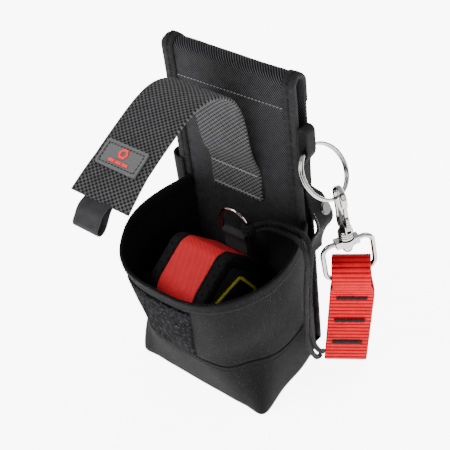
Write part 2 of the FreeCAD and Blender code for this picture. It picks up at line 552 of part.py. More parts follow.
def tape_measure():
    split = (BAND_X[0] + BAND_X[1]) / 2
    case_half(CASE_X[0], split - 0.02, "case_left")
    case_half(CASE_X[1], split + 0.02, "case_right")
    inlay_strip(CASE_X[1], CASE_X[1] + 0.6, "inlay_right")
    inlay_strip(CASE_X[0] - 0.6, CASE_X[0], "inlay_left")
    y, z = SPOOL_YZ
    inner_x0, inner_x1 = CASE_X[0] + CASE_WALL, CASE_X[1] - CASE_WALL
    post = Part.makeCylinder(3.0, inner_x1 - inner_x0, V(inner_x0, y, z), X_AXIS)
    save(post, "spool_post")

    def tube(r_out, r_in, x0, x1):
        return Part.makeCylinder(r_out, x1 - x0, V(x0, y, z), X_AXIS).cut(
            Part.makeCylinder(r_in, x1 - x0, V(x0, y, z), X_AXIS))
    save(tube(26.0, 13.0, split - 12.5, split + 12.5), "blade_coil")
    drum = tube(13.0, 11.5, split - 12.5, split + 12.5).fuse(tube(11.5, 3.0, split - 12.5, split - 11.0))
    save(drum.removeSplitter(), "spool_drum")
    save(tube(9.5, 3.0, split - 6.0, split + 6.0), "return_spring")


# ---- D-ring and its loop ------------------------------------------------------------------
def d_ring():
    y, z = D_RING_YZ
    x0, x1 = D_RING_X - D_RING_R, D_RING_X + D_RING_R
    bow_z = z + D_RING_LEG
    bow = Part.Arc(V(x1, y, bow_z), V(D_RING_X, y, bow_z + D_RING_R), V(x0, y, bow_z)).toShape()
    corner = 1.6
    start = V(x0 + corner, y, z)
    c45 = corner * (1 - math.sqrt(0.5))
    edges = [Part.makeLine(start, V(x1 - corner, y, z)),
             Part.Arc(V(x1 - corner, y, z), V(x1 - c45, y, z + c45), V(x1, y, z + corner)).toShape(),
             Part.makeLine(V(x1, y, z + corner), V(x1, y, bow_z)), bow,
             Part.makeLine(V(x0, y, bow_z), V(x0, y, z + corner)),
             Part.Arc(V(x0, y, z + corner), V(x0 + c45, y, z + c45), start).toShape()]
    section = Part.Wire(Part.makeCircle(D_RING_WIRE_R, start, X_AXIS))
    save(Part.Wire(edges).makePipeShell([section], True, True), "d_ring")
    loop_w = 18.8
    lx0 = D_RING_X - loop_w / 2
    eye_out = Part.makeCylinder(D_RING_WIRE_R + 1.75, loop_w, V(lx0, y, z), X_AXIS)
    tail = box(lx0, lx0 + loop_w, y - 1.5, y + 1.5, 60.0, z)
    hole = Part.makeCylinder(D_RING_WIRE_R + 0.35, loop_w, V(lx0, y, z), X_AXIS)
    loop = eye_out.fuse(tail).cut(hole).cut(prism_x(tape_outline(0), lx0 - 1, lx0 + loop_w + 1))
    loop = max(loop.Solids, key=lambda s: s.CenterOfMass.z)
    save(loop, "d_ring_loop")
    leg_x = x1
    knot = Part.makeCylinder(4.4, 6.6, V(leg_x, y, z + 4.4)).cut(
        Part.makeCylinder(D_RING_WIRE_R + 0.1, 6.6, V(leg_x, y, z + 4.4)))
    save(knot, "tether_hitch")


# ---- tether -------------------------------------------------------------------------------
def tether_cord(points, node):
    path, radii = cord_path(points)
    first = V(*points[1]).sub(V(*points[0]))
    circle = Part.Wire(Part.makeCircle(CORD_D / 2, V(*points[0]), first))
    tube = path.makePipeShell([circle], True, True)
    expected = math.pi * (CORD_D / 2) ** 2 * path.Length
    print(node, "length", round(path.Length, 1), "volume ratio", round(tube.Volume / expected, 4), "radii", radii)
    save(tube, node)


def main():
    os.makedirs("parts", exist_ok=True)
    back_panel()
    binding(PANEL_LEFT, PANEL_LEFT + BINDING_W_LEFT, "binding_left")
    binding(PANEL_RIGHT, PANEL_RIGHT - BINDING_W_RIGHT, "binding_right")
    cup()
    left_side_loop()
    ring_strap()
    stud_strap()
    flap()
    pull_tab()
    split_ring()
    snap_hook()
    swivel_eye()
    tail_tab()
    jacket()
    tape_measure()
    d_ring()
    tether_cord(CORD_UPPER, "tether_cord_upper")
    tether_cord(CORD_LOWER, "tether_cord_lower")


main()
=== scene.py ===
import math
import bpy
import numpy as np
from mathutils import Matrix, Vector


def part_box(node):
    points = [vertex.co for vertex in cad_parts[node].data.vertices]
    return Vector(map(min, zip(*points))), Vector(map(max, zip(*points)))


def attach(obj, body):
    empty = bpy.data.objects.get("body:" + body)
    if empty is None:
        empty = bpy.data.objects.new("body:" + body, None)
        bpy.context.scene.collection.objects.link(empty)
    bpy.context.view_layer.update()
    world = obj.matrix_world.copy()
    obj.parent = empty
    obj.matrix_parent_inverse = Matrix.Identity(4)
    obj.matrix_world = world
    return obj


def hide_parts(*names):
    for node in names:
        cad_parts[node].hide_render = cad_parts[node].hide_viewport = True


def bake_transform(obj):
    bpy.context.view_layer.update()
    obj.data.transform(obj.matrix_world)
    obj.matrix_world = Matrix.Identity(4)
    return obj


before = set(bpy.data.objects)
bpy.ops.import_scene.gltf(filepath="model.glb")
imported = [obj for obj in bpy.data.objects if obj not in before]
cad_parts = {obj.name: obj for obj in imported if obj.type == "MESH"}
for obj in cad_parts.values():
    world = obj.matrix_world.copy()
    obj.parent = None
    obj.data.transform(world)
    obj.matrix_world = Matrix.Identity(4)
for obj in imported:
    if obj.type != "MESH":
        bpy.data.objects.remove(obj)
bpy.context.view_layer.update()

# Lengths below are in millimetres, as in the CAD model, and turn into metres where a mesh is made.
MM = 0.001
X, Y, Z = np.eye(3)

# panel
PANEL_LEFT, PANEL_RIGHT, PANEL_BOTTOM = -54.8, 45.2, 0.8
TWILL_T, FOLD_R, FOLD_Z, SPLIT_Z = 1.6, 5.6, 209.6, 196.0
FRONT_RUN = FOLD_Z - PANEL_BOTTOM
FOLD_RUN = FRONT_RUN + math.pi * FOLD_R + FOLD_Z - SPLIT_Z
# cup
BASE_HALF = [(46.9, 0.9), (50.4, -22.0), (51.2, -44.0), (51.0, -61.5),
             (40.0, -66.0), (22.0, -66.8), (0.0, -67.0)]
RIM_HALF = [(46.9, 0.9), (56.7, -27.4), (57.3, -48.7), (50.3, -65.8),
            (39.9, -78.6), (25.8, -86.4), (0.0, -89.1)]
RIM_BACK_Z, RIM_SLOPE, CUP_T, CUP_BACK_Y = 113.7, 0.117, 2.2, 0.7
SEAM_LEVEL, RIM_BAND_LEVEL = 0.37, 0.92
PATCH_LEFT, PATCH_RIGHT, PATCH_LEAN = -31.0, 21.0, 10.0
CUP_COLUMNS = 260
CORNER_REACH = 3.2  # how far the foot's two front corners are drawn out into points
CORNER_TUCK = 4.5  # how far the same corners are rounded off at the seam's height
SEAM_RISE = 4.0  # how much the seam climbs over those corners
# flap
FLAP_LEFT, FLAP_RIGHT, FLAP_T = -25.0, 15.0, 2.2
FLAP_LINE = [(-1.2, 117.5), (-1.2, 128.0), (-1.3, 140.2), (-4.8, 150.0), (-8.6, 170.0), (-11.6, 189.0),
             (-17.5, 201.5), (-28.0, 210.0), (-41.0, 213.6), (-54.0, 211.6), (-68.0, 206.3), (-82.0, 200.0),
             (-96.0, 193.0), (-110.0, 184.5)]
# side chain
STRAP_Y, STRAP_HALF, STRAP_T, STRAP_GAP = 3.2, 4.2, 1.2, 4.8
STRAP_TOP_Z, STRAP_SEAM_Z, STRAP_END_Z = 184.5, 165.0, 140.0
STUD_STRAP_Y, STUD_STRAP_HALF, STUD_STRAP_T = 9.0, 6.5, 1.6
STUD_STRAP_LINE = [(46.0, 137.5), (46.6, 132.0), (50.6, 125.0), (55.4, 116.0), (55.4, 111.5), (51.6, 104.0),
                   (47.6, 95.0), (46.1, 88.0), (46.0, 84.0)]
TAB_HALF, TAB_TAIL_HALF, TAB_TAIL_LEAN, TAB_AZIMUTH = 12.0, 14.1, 5.5, 33.0
TAB_T, TAB_GAP_R, TAB_ARCH_Z, TAB_JOIN_Z, TAB_END_Z = 1.5, 7.6, 3.4, -18.0, -79.7
TAB_ACROSS = np.array([math.cos(math.radians(TAB_AZIMUTH)), math.sin(math.radians(TAB_AZIMUTH)), 0.0])
BARTACK_Z = (-20.5, -41.0, -61.5)
EYE_BAR = np.array([75.741, 5.0, 82.726])
# tape measure
TAPE_LINE = [(-4.5, 22.0), (-16.0, 3.6), (-53.0, 3.2), (-65.5, 20.0), (-74.0, 62.0), (-65.0, 80.0),
             (-39.0, 95.0), (-31.0, 93.5), (-3.5, 66.0)]
TAPE_FILLETS = [12.0, 10.0, 10.0, 14.0, 12.0, 16.0, 7.0, 9.0, 14.0]
BAND_LEFT, BAND_RIGHT, JACKET_T = -25.0, 5.0, 1.5
CASE_LEFT, CASE_RIGHT = -32.0, 12.0
D_RING_X, D_RING_Y, D_RING_Z, D_RING_R = -2.6, -11.0, 90.5, 11.35
# tether
CORD_D = 3.6
HITCH_START, HITCH_TURNS, HITCH_R, HITCH_LOW, HITCH_H = 0.6, 2.6, 3.0, -3.4, 7.6
CORD_UPPER = [(12.0, -8.6, 100.6), (17.0, -8.0, 105.0), (26.5, -7.4, 109.6), (37.0, -8.0, 112.6),
              (46.5, -10.6, 115.6), (55.4, -13.6, 117.6), (61.6, -16.0, 113.6), (61.6, -16.8, 101.0),
              (59.6, -17.2, 82.0), (58.4, -17.2, 60.0), (57.2, -17.2, 41.0), (56.9, -15.2, 29.0),
              (56.6, -12.0, 19.0), (56.1, -7.6, 10.6), (55.4, -3.8, 5.2), (54.6, -0.8, 2.9)]
CORD_LOWER = [(12.0, -9.6, 96.4), (17.0, -8.2, 101.0), (26.5, -8.8, 105.2), (36.6, -11.2, 108.8),
              (45.6, -14.8, 113.4), (54.0, -18.2, 117.0), (61.2, -20.6, 113.0), (62.4, -21.2, 101.0),
              (60.2, -21.6, 82.0), (58.9, -21.6, 60.0), (57.4, -21.6, 41.0), (56.8, -19.8, 28.0),
              (56.4, -16.2, 17.5), (55.9, -12.0, 8.6), (55.3, -8.2, 3.6), (54.6, -4.8, 2.2)]

# camera, floor and world; the camera's axes point right, down and ahead
CAMERA_PLACE = (0.3340, -0.3626, 0.5109)
CAMERA_AXES = [(0.769, 0.630, -0.106), (0.350, -0.554, -0.755), (-0.5346, 0.544, -0.6468)]
SENSOR_WIDTH, FOCAL_LENGTH, FRAME_WIDTH = 36.0, 993.0, 450.0
FLOOR_HALF, FLOOR_GLOW, SKY_STRENGTH = 4000.0, 7.0, 1.6


# ---- lines --------------------------------------------------------------------------------
def spline(points, count):
    """A smooth line through the points, as evenly spaced points along it."""
    pts = np.array(points, float)
    at = lengths(pts)
    h = np.diff(at)
    matrix, right = np.eye(len(at)), np.zeros_like(pts)
    for i in range(1, len(at) - 1):
        matrix[i, i - 1:i + 2] = h[i - 1], 2 * (h[i - 1] + h[i]), h[i]
        right[i] = 6 * ((pts[i + 1] - pts[i]) / h[i] - (pts[i] - pts[i - 1]) / h[i - 1])
    bend = np.linalg.solve(matrix, right)
    t = np.linspace(0, at[-1], count)
    k = np.clip(np.searchsorted(at, t, side="right") - 1, 0, len(h) - 1)
    a, b, w = (at[k + 1] - t)[:, None], (t - at[k])[:, None], h[k][:, None]
    return (bend[k] * a ** 3 + bend[k + 1] * b ** 3) / (6 * w) + (pts[k] / w - bend[k] * w / 6) * a + (
        pts[k + 1] / w - bend[k + 1] * w / 6) * b


def rounded(points, radii, step=1.0):
    """A closed outline with an arc at each corner, as points about a step apart."""
    line = []
    count = len(points)
    for i in range(count):
        corner = np.array(points[i], float)
        back = np.array(points[i - 1]) - corner
        ahead = np.array(points[(i + 1) % count]) - corner
        back, ahead = back / np.linalg.norm(back), ahead / np.linalg.norm(ahead)
        half = math.acos(np.clip(back @ ahead, -1, 1)) / 2
        middle = (back + ahead) / np.linalg.norm(back + ahead)
        centre = corner + middle * radii[i] / math.sin(half)
        start = corner + back * radii[i] / math.tan(half) - centre
        end = corner + ahead * radii[i] / math.tan(half) - centre
        sweep = math.pi - 2 * half
        for f in np.linspace(0, 1, max(4, int(radii[i] * sweep / step))):
            swing = start * math.sin((1 - f) * sweep) + end * math.sin(f * sweep)
            line.append(centre + swing / math.sin(sweep))
    return resample(np.array(line + line[:1]), step)[:-1]


def lengths(line):
    """How far along a line of points each point is."""
    return np.concatenate([[0], np.cumsum(np.linalg.norm(np.diff(line, axis=0), axis=1))])


def directions(line, closed=False):
    """The unit direction of a line at each of its points."""
    if closed:
        line = np.concatenate([line[-1:], line, line[:1]])
    along = np.gradient(line, axis=0)
    along /= np.linalg.norm(along, axis=1)[:, None]
    return along[1:-1] if closed else along


def stacked(*fields):
    """Arrays of one number per point, spread to one shape and joined as coordinates."""
    return np.stack(np.broadcast_arrays(*fields), axis=2)


def resample(line, step):
    run = lengths(line)
    at = np.linspace(0, run[-1], max(3, int(round(run[-1] / step)) + 1))
    return np.stack([np.interp(at, run, line[:, k]) for k in range(line.shape[1])], axis=1)


def ripple(a, b, seed=0.0):
    """A smooth uneven surface of about -1 to 1, for the lie of cloth."""
    return (np.sin(0.9 * a + 1.3 * seed) * np.sin(0.7 * b + 2.1 * seed)
            + 0.6 * np.sin(1.7 * a - 1.1 * b + seed)
            + 0.4 * np.sin(2.6 * b + 0.8 * a + 3.0 * seed)) / 2.0


def in_yz(points, x=0.0):
    pts = np.array(points, float)
    return np.column_stack([np.full(len(pts), x), pts[:, 0], pts[:, 1]])


# ---- meshes -------------------------------------------------------------------------------
def mesh_piece(name, verts, faces, material, body, uvs=None):
    mesh = bpy.data.meshes.new(name)
    mesh.from_pydata([tuple(v) for v in np.asarray(verts) * MM], [], [tuple(f) for f in faces])
    if uvs is not None:
        layer = mesh.uv_layers.new(name="UVMap")
        loop_verts = np.zeros(len(mesh.loops), dtype=np.int64)
        mesh.loops.foreach_get("vertex_index", loop_verts)
        layer.data.foreach_set("uv", np.asarray(uvs, float)[loop_verts].ravel())
    mesh.polygons.foreach_set("use_smooth", [True] * len(mesh.polygons))
    mesh.materials.append(material)
    piece = bpy.data.objects.new(name, mesh)
    bpy.context.scene.collection.objects.link(piece)
    if body:
        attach(piece, body)
    return piece


def ring_faces(base, count, size, closed=False):
    """The faces between rings of points, numbered from base, with a face over each end unless closed."""
    faces = []
    for i in range(count if closed else count - 1):
        a, b = base + i * size, base + (i + 1) % count * size
        faces += [(a + j, a + (j + 1) % size, b + (j + 1) % size, b + j) for j in range(size)]
    if not closed:
        faces.append(tuple(range(base, base + size))[::-1])
        faces.append(tuple(range(base + (count - 1) * size, base + count * size)))
    return faces


def loft(name, rings, uvs, material, body, closed=False):
    """Closed rings of points joined in order. A closed loft joins the last ring to the first."""
    faces = ring_faces(0, *rings.shape[:2], closed)
    piece = mesh_piece(name, rings.reshape(-1, 3), faces, material, body, uvs.reshape(-1, 2))
    fix_normals(piece)
    return piece


def fix_normals(piece):
    """Turns a mesh's faces outwards: the volume that its faces enclose is positive."""
    mesh = piece.data
    volume = 0.0
    for face in mesh.polygons:
        points = [mesh.vertices[i].co for i in face.vertices]
        for k in range(1, len(points) - 1):
            volume += points[0].dot(points[k].cross(points[k + 1]))
    if volume < 0:
        mesh.flip_normals()


def ribbon(name, line, across, half_width, thickness, material, body, relief=None, closed=False, columns=24):
    """A strip of webbing along a line of points. half_width may be one number or one for each point."""
    count = len(line)
    tangent = directions(line, closed)
    across = np.broadcast_to(np.asarray(across, float), line.shape)
    normal = np.cross(tangent, across)
    normal /= np.linalg.norm(normal, axis=1)[:, None]
    half = np.broadcast_to(np.asarray(half_width, float), (count,))
    spread = np.linspace(-1, 1, columns)
    lip = thickness * 0.3
    side_a = np.concatenate([spread, [1.0], spread[::-1], [-1.0]])
    height = np.concatenate([np.ones(columns), [0.0], -np.ones(columns), [0.0]])
    u = side_a[None, :] * half[:, None]
    inner = np.where(height == 0, u, u * (1 - lip / np.maximum(half, 0.5))[:, None])
    v = np.broadcast_to(lengths(line)[:, None], u.shape)
    lift = height[None, :] * thickness / 2
    if relief:
        lift = lift + height[None, :] * relief(u, v, height[None, :])
    rings = line[:, None, :] + across[:, None, :] * inner[:, :, None] + normal[:, None, :] * lift[:, :, None]
    return loft(name, rings, np.stack([u, v], axis=2), material, body, closed)


def stitches(name, pairs, radius, material, body):
    """Short lengths of thread, each a small spindle between two points."""
    sides, profile = 6, [(0.0, 0.25), (0.15, 0.8), (0.5, 1.0), (0.85, 0.8), (1.0, 0.25)]
    verts, faces = [], []
    for start, end in pairs:
        start, end = np.array(start, float), np.array(end, float)
        along = (end - start) / np.linalg.norm(end - start)
        side = np.cross(along, Z if abs(along[2]) < 0.9 else X)
        side /= np.linalg.norm(side)
        up = np.cross(along, side)
        faces += ring_faces(len(verts), len(profile), sides)
        for f, r in profile:
            for k in range(sides):
                angle = 2 * math.pi * k / sides
                out = math.cos(angle) * side + math.sin(angle) * up
                verts.append(start + (end - start) * f + radius * r * out)
    return mesh_piece(name, verts, faces, material, body)


def run_pairs(line, pitch, share=0.7):
    """Start and end points of stitches along a line of points."""
    dense = resample(np.asarray(line, float), pitch)
    return [(dense[i], dense[i] + (dense[i + 1] - dense[i]) * share) for i in range(len(dense) - 1)]


def zigzag_pairs(line, side, pitch):
    """Stitches that go back and forth across a line. side is the half swing, a vector."""
    dense = resample(np.asarray(line, float), pitch)
    side = np.asarray(side, float)
    return [(dense[i] + side * (-1) ** i, dense[i + 1] - side * (-1) ** i) for i in range(len(dense) - 1)]


# ---- materials ----------------------------------------------------------------------------
def add_math(nt, op, a, b=0.0):
    node = nt.nodes.new("ShaderNodeMath")
    node.operation = op
    for socket, value in zip(node.inputs, (a, b)):
        if isinstance(value, (int, float)):
            socket.default_value = value
        else:
            nt.links.new(value, socket)
    return node.outputs[0]


def wave(nt, coordinate, pitch, phase=0.0):
    """A sine of a coordinate, from -1 to 1."""
    turns = add_math(nt, "MULTIPLY", coordinate, 2 * math.pi / pitch)
    return add_math(nt, "SINE", add_math(nt, "ADD", turns, phase))


def noise(nt, scale, detail=3.0, rough=0.6):
    place = nt.nodes.new("ShaderNodeTexCoord")
    texture = nt.nodes.new("ShaderNodeTexNoise")
    texture.inputs["Scale"].default_value = scale
    texture.inputs["Detail"].default_value = detail
    texture.inputs["Roughness"].default_value = rough
    nt.links.new(place.outputs["Object"], texture.inputs["Vector"])
    return texture.outputs["Fac"]


def remap(nt, value, low, high, to_low=0.0, to_high=1.0):
    node = nt.nodes.new("ShaderNodeMapRange")
    for name, number in (("From Min", low), ("From Max", high), ("To Min", to_low), ("To Max", to_high)):
        node.inputs[name].default_value = number
    nt.links.new(value, node.inputs["Value"])
    return node.outputs["Result"]


def mix_colours(nt, factor, a, b):
    node = nt.nodes.new("ShaderNodeMix")
    node.data_type = "RGBA"
    nt.links.new(factor, node.inputs["Factor"])
    for socket, colour in ((node.inputs["A"], a), (node.inputs["B"], b)):
        if isinstance(colour, tuple):
            socket.default_value = (*colour, 1.0)
        else:
            nt.links.new(colour, socket)
    return node.outputs["Result"]


def new_material(name, roughness, metallic=0.0, specular=0.5, coat=0.0):
    material = bpy.data.materials.new(name)
    material.use_nodes = True
    shader = material.node_tree.nodes["Principled BSDF"]
    shader.inputs["Roughness"].default_value = roughness
    shader.inputs["Metallic"].default_value = metallic
    shader.inputs["Specular IOR Level"].default_value = specular
    shader.inputs["Coat Weight"].default_value = coat
    return material, material.node_tree, shader


def finish_material(nt, shader, colour, heights, roughness=None):
    """heights are (socket, metres) pairs of bump, joined in order."""
    nt.links.new(colour, shader.inputs["Base Color"])
    normal = None
    for height, distance in heights:
        bump = nt.nodes.new("ShaderNodeBump")
        bump.inputs["Distance"].default_value = distance
        nt.links.new(height, bump.inputs["Height"])
        if normal:
            nt.links.new(normal, bump.inputs["Normal"])
        normal = bump.outputs["Normal"]
    nt.links.new(normal, shader.inputs["Normal"])
    if roughness:
        nt.links.new(roughness, shader.inputs["Roughness"])


def uv_axes(nt):
    uv = nt.nodes.new("ShaderNodeUVMap")
    uv.uv_map = "UVMap"
    split = nt.nodes.new("ShaderNodeSeparateXYZ")
    nt.links.new(uv.outputs["UV"], split.inputs[0])
    return split.outputs[0], split.outputs[1]


# the range over which two crossed waves turn from dark to light
CROSS_WEAVES = {"dots": (0.35, -0.15), "holes": (0.92, 0.78), "basket": (-0.75, 0.35)}


def weave_material(name, dark, light, pitch, depth, kind, specular=0.06, roughness=0.85, lint=0.12):
    """Cloth whose threads follow the mesh's own millimetre coordinates."""
    material, nt, shader = new_material(name, roughness, specular=specular)
    u, v = uv_axes(nt)
    if kind == "twill":
        slant = add_math(nt, "ADD", u, add_math(nt, "MULTIPLY", v, 0.8))
        rib = remap(nt, wave(nt, slant, pitch[0]), 0.1, 1.0)
        thread = remap(nt, wave(nt, add_math(nt, "SUBTRACT", u, v), pitch[1]), -1, 1)
        fine = add_math(nt, "ADD", 0.6, add_math(nt, "MULTIPLY", thread, 0.4))
        height = add_math(nt, "MULTIPLY", rib, fine)
    elif kind in CROSS_WEAVES:
        cross = add_math(nt, "MULTIPLY", wave(nt, u, pitch[0]), wave(nt, v, pitch[1]))
        height = remap(nt, cross, *CROSS_WEAVES[kind])
    elif kind == "rib":
        rib = remap(nt, add_math(nt, "ABSOLUTE", wave(nt, v, pitch[1] * 2)), 0.05, 0.8)
        thread = remap(nt, wave(nt, u, pitch[0]), -1, 1, 0.75, 1.0)
        height = add_math(nt, "MULTIPLY", rib, thread)
    elif kind == "braid":
        left = wave(nt, add_math(nt, "ADD", u, v), pitch[0])
        right = wave(nt, add_math(nt, "SUBTRACT", u, v), pitch[1])
        height = remap(nt, add_math(nt, "MAXIMUM", left, right), 0.62, 1.0)
    else:
        height = remap(nt, add_math(nt, "MAXIMUM", wave(nt, u, pitch[0]), wave(nt, v, pitch[1])), -0.6, 1.0)
    mottle = remap(nt, noise(nt, 180.0), 0.3, 0.7, 0.75, 1.15)
    shade = add_math(nt, "MULTIPLY", height, mottle)
    colour = mix_colours(nt, shade, dark, light)
    flecks = remap(nt, noise(nt, 1500.0, 1.0), 0.70, 0.78, 0.0, lint)
    colour = mix_colours(nt, flecks, colour, (0.30, 0.30, 0.30))
    finish_material(nt, shader, colour, [(height, depth), (noise(nt, 2200.0), 0.00008)])
    return material


def smooth_material(name, dark, light, grain_scale, depth, roughness, specular=0.06, lint=0.1,
                    fuzz=0.0, bright=2.2, clumps=(0.42, 0.70)):
    """Coated cloth, foam, felt or rubber with a fine grain and a little lint."""
    material, nt, shader = new_material(name, roughness, specular=specular)
    grain = noise(nt, grain_scale, 4.0, 0.7)
    patches = noise(nt, 25.0, 2.0)
    colour = mix_colours(nt, remap(nt, patches, 0.3, 0.7), dark, light)
    flecks = remap(nt, grain, clumps[0], clumps[1], 0.0, 0.6 + fuzz)
    colour = mix_colours(nt, flecks, colour, tuple(bright * c for c in light))
    flecks = remap(nt, noise(nt, 1100.0, 1.0), 0.72, 0.79, 0.0, lint)
    colour = mix_colours(nt, flecks, colour, (0.25, 0.25, 0.26))
    finish_material(nt, shader, colour, [(grain, depth), (patches, 0.0006)],
                    remap(nt, grain, 0.3, 0.7, roughness - 0.08, roughness + 0.08))
    return material


def metal_material(name, colour, roughness):
    material, nt, shader = new_material(name, roughness, metallic=1.0)
    smudge = noise(nt, 90.0, 3.0)
    tint = mix_colours(nt, remap(nt, smudge, 0.3, 0.7), colour, tuple(0.86 * c for c in colour))
    finish_material(nt, shader, tint, [(noise(nt, 700.0, 2.0), 0.00002)],
                    remap(nt, smudge, 0.3, 0.7, roughness * 0.7, roughness * 1.5))
    return material


def plastic_material(name, colour, roughness, grain=0.00003, coat=0.0):
    material, nt, shader = new_material(name, roughness, specular=0.5, coat=coat)
    wear = noise(nt, 60.0, 4.0)
    tint = mix_colours(nt, remap(nt, wear, 0.35, 0.7), colour, tuple(min(1.0, 1.25 * c) for c in colour))
    finish_material(nt, shader, tint, [(noise(nt, 2500.0, 2.0), grain)],
                    remap(nt, wear, 0.3, 0.7, roughness - 0.06, roughness + 0.1))
    return material


TWILL = weave_material("twill", (0.0014, 0.0014, 0.0016), (0.062, 0.062, 0.066), (1.9, 0.9), 0.0004,
                       "twill", lint=0.05)
TAPE = weave_material("binding_tape", (0.002, 0.002, 0.0022), (0.016, 0.016, 0.017), (0.9, 0.9), 0.0002,
                      "plain")
FLAP = weave_material("flap_webbing", (0.0045, 0.0045, 0.0048), (0.050, 0.0495, 0.051), (3.2, 2.8),
                      0.0004, "dots")
STRAP = weave_material("strap_webbing", (0.0015, 0.0015, 0.0016), (0.010, 0.010, 0.011), (1.3, 1.3),
                       0.0003, "basket")
RED = weave_material("red_webbing", (0.12, 0.0008, 0.002), (0.36, 0.004, 0.009), (0.9, 3.15), 0.0004,
                     "rib", specular=0.03, lint=0.05)
RED_TWILL = weave_material("red_twill", (0.32, 0.006, 0.009), (0.82, 0.045, 0.055), (1.1, 0.8), 0.0002,
                           "twill", specular=0.12, roughness=0.7, lint=0.02)
GROSGRAIN = weave_material("grosgrain", (0.004, 0.004, 0.0045), (0.030, 0.030, 0.032), (0.5, 0.9),
                           0.00015, "rib")
CORD = weave_material("cord_braid", (0.0006, 0.0006, 0.0007), (0.034, 0.034, 0.036), (1.5, 1.5), 0.0003,
                      "braid", lint=0.5)
ELASTIC = weave_material("elastic", (0.0004, 0.0004, 0.0004), (0.0055, 0.0055, 0.006), (7.0, 7.0),
                         0.0004, "holes")
COATED = weave_material("coated_cloth", (0.0006, 0.0006, 0.0007), (0.0048, 0.0048, 0.0052), (1.05, 1.05),
                        0.00025, "plain", specular=0.04, lint=0.2)
LINING = smooth_material("lining", (0.0010, 0.0010, 0.0011), (0.0022, 0.0022, 0.0024), 2000.0, 0.0001, 0.9)
FUZZ = smooth_material("loop_fuzz", (0.0003, 0.0003, 0.0003), (0.0008, 0.0008, 0.0009), 420.0, 0.0016,
                       0.95, specular=0.02, lint=0.4, fuzz=0.4, bright=18.0, clumps=(0.50, 0.60))
HOOKS = smooth_material("hook_pile", (0.003, 0.003, 0.0033), (0.009, 0.009, 0.010), 1800.0, 0.0006, 0.9)
FOAM = smooth_material("foam", (0.004, 0.004, 0.0045), (0.010, 0.010, 0.011), 1500.0, 0.0004, 0.95)
RUBBER = smooth_material("label_rubber", (0.042, 0.042, 0.043), (0.050, 0.050, 0.051), 2400.0, 0.00006,
                         0.5, specular=0.2, lint=0.0)
EMBLEM = smooth_material("emblem_red", (0.45, 0.006, 0.010), (0.50, 0.008, 0.012), 2400.0, 0.00006, 0.5,
                         specular=0.2, lint=0.0)
THREAD = smooth_material("thread_grey", (0.08, 0.08, 0.085), (0.12, 0.12, 0.125), 3000.0, 0.0001, 0.7,
                         lint=0.0)
DARK_THREAD = smooth_material("thread_black", (0.002, 0.002, 0.0022), (0.006, 0.006, 0.0066), 3000.0,
                              0.0001, 0.75, lint=0.0)
NICKEL = metal_material("nickel", (0.26, 0.255, 0.245), 0.09)
ZINC = metal_material("zinc_plate", (0.22, 0.215, 0.205), 0.12)
SPRING = metal_material("spring_steel", (0.5, 0.5, 0.5), 0.35)
CASE = plastic_material("case_plastic", (0.014, 0.0145, 0.016), 0.5, 0.00008)
YELLOW = plastic_material("inlay_yellow", (0.60, 0.52, 0.02), 0.35)
BLADE = plastic_material("blade_enamel", (0.75, 0.62, 0.05), 0.4)

CAD_MATERIALS = {
    "press_stud": NICKEL, "split_ring": NICKEL, "hook_body": ZINC, "gate": ZINC, "gate_pin": NICKEL,
    "gate_spring": SPRING, "swivel_rivet": NICKEL, "swivel_eye": ZINC, "d_ring": NICKEL, "case_left": CASE,
    "case_right": CASE, "inlay_left": YELLOW, "inlay_right": YELLOW, "spool_post": CASE, "blade_coil": BLADE,
    "spool_drum": CASE, "return_spring": SPRING, "flap_label": RUBBER, "label_emblem": EMBLEM}


def stand_for(piece, slot, *nodes):
    """Hides the CAD nodes that a piece replaces. slot, the name of its finish, is not used."""
    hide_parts(*nodes)


def sew(name, pairs, radius, body, material=DARK_THREAD):
    """Stitches between pairs of points, of dark thread unless another material is given."""
    stitches(name, pairs, radius, material, body)


def dress_cad_nodes():
    for node, material in CAD_MATERIALS.items():
        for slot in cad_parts[node].material_slots:
            slot.material = material


# ---- camera, light and floor --------------------------------------------------------------
def camera():
    data = bpy.data.cameras.new("camera")
    data.sensor_width = SENSOR_WIDTH
    data.lens = SENSOR_WIDTH * FOCAL_LENGTH / FRAME_WIDTH
    data.clip_start = 0.01
    camera_object = bpy.data.objects.new("camera", data)
    right, down, ahead = (Vector(direction).normalized() for direction in CAMERA_AXES)
    turn = Matrix((right, -down, -ahead)).transposed()
    camera_object.matrix_world = Matrix.Translation(CAMERA_PLACE) @ turn.to_4x4()
    bpy.context.scene.collection.objects.link(camera_object)
    bpy.context.scene.camera = camera_object


def area_light(name, place, target, size, power):
    data = bpy.data.lights.new(name, "AREA")
    data.size, data.energy = size, power
    light = bpy.data.objects.new(name, data)
    light.location = place
    light.rotation_euler = (Vector(target) - Vector(place)).to_track_quat("-Z", "Y").to_euler()
    bpy.context.scene.collection.objects.link(light)


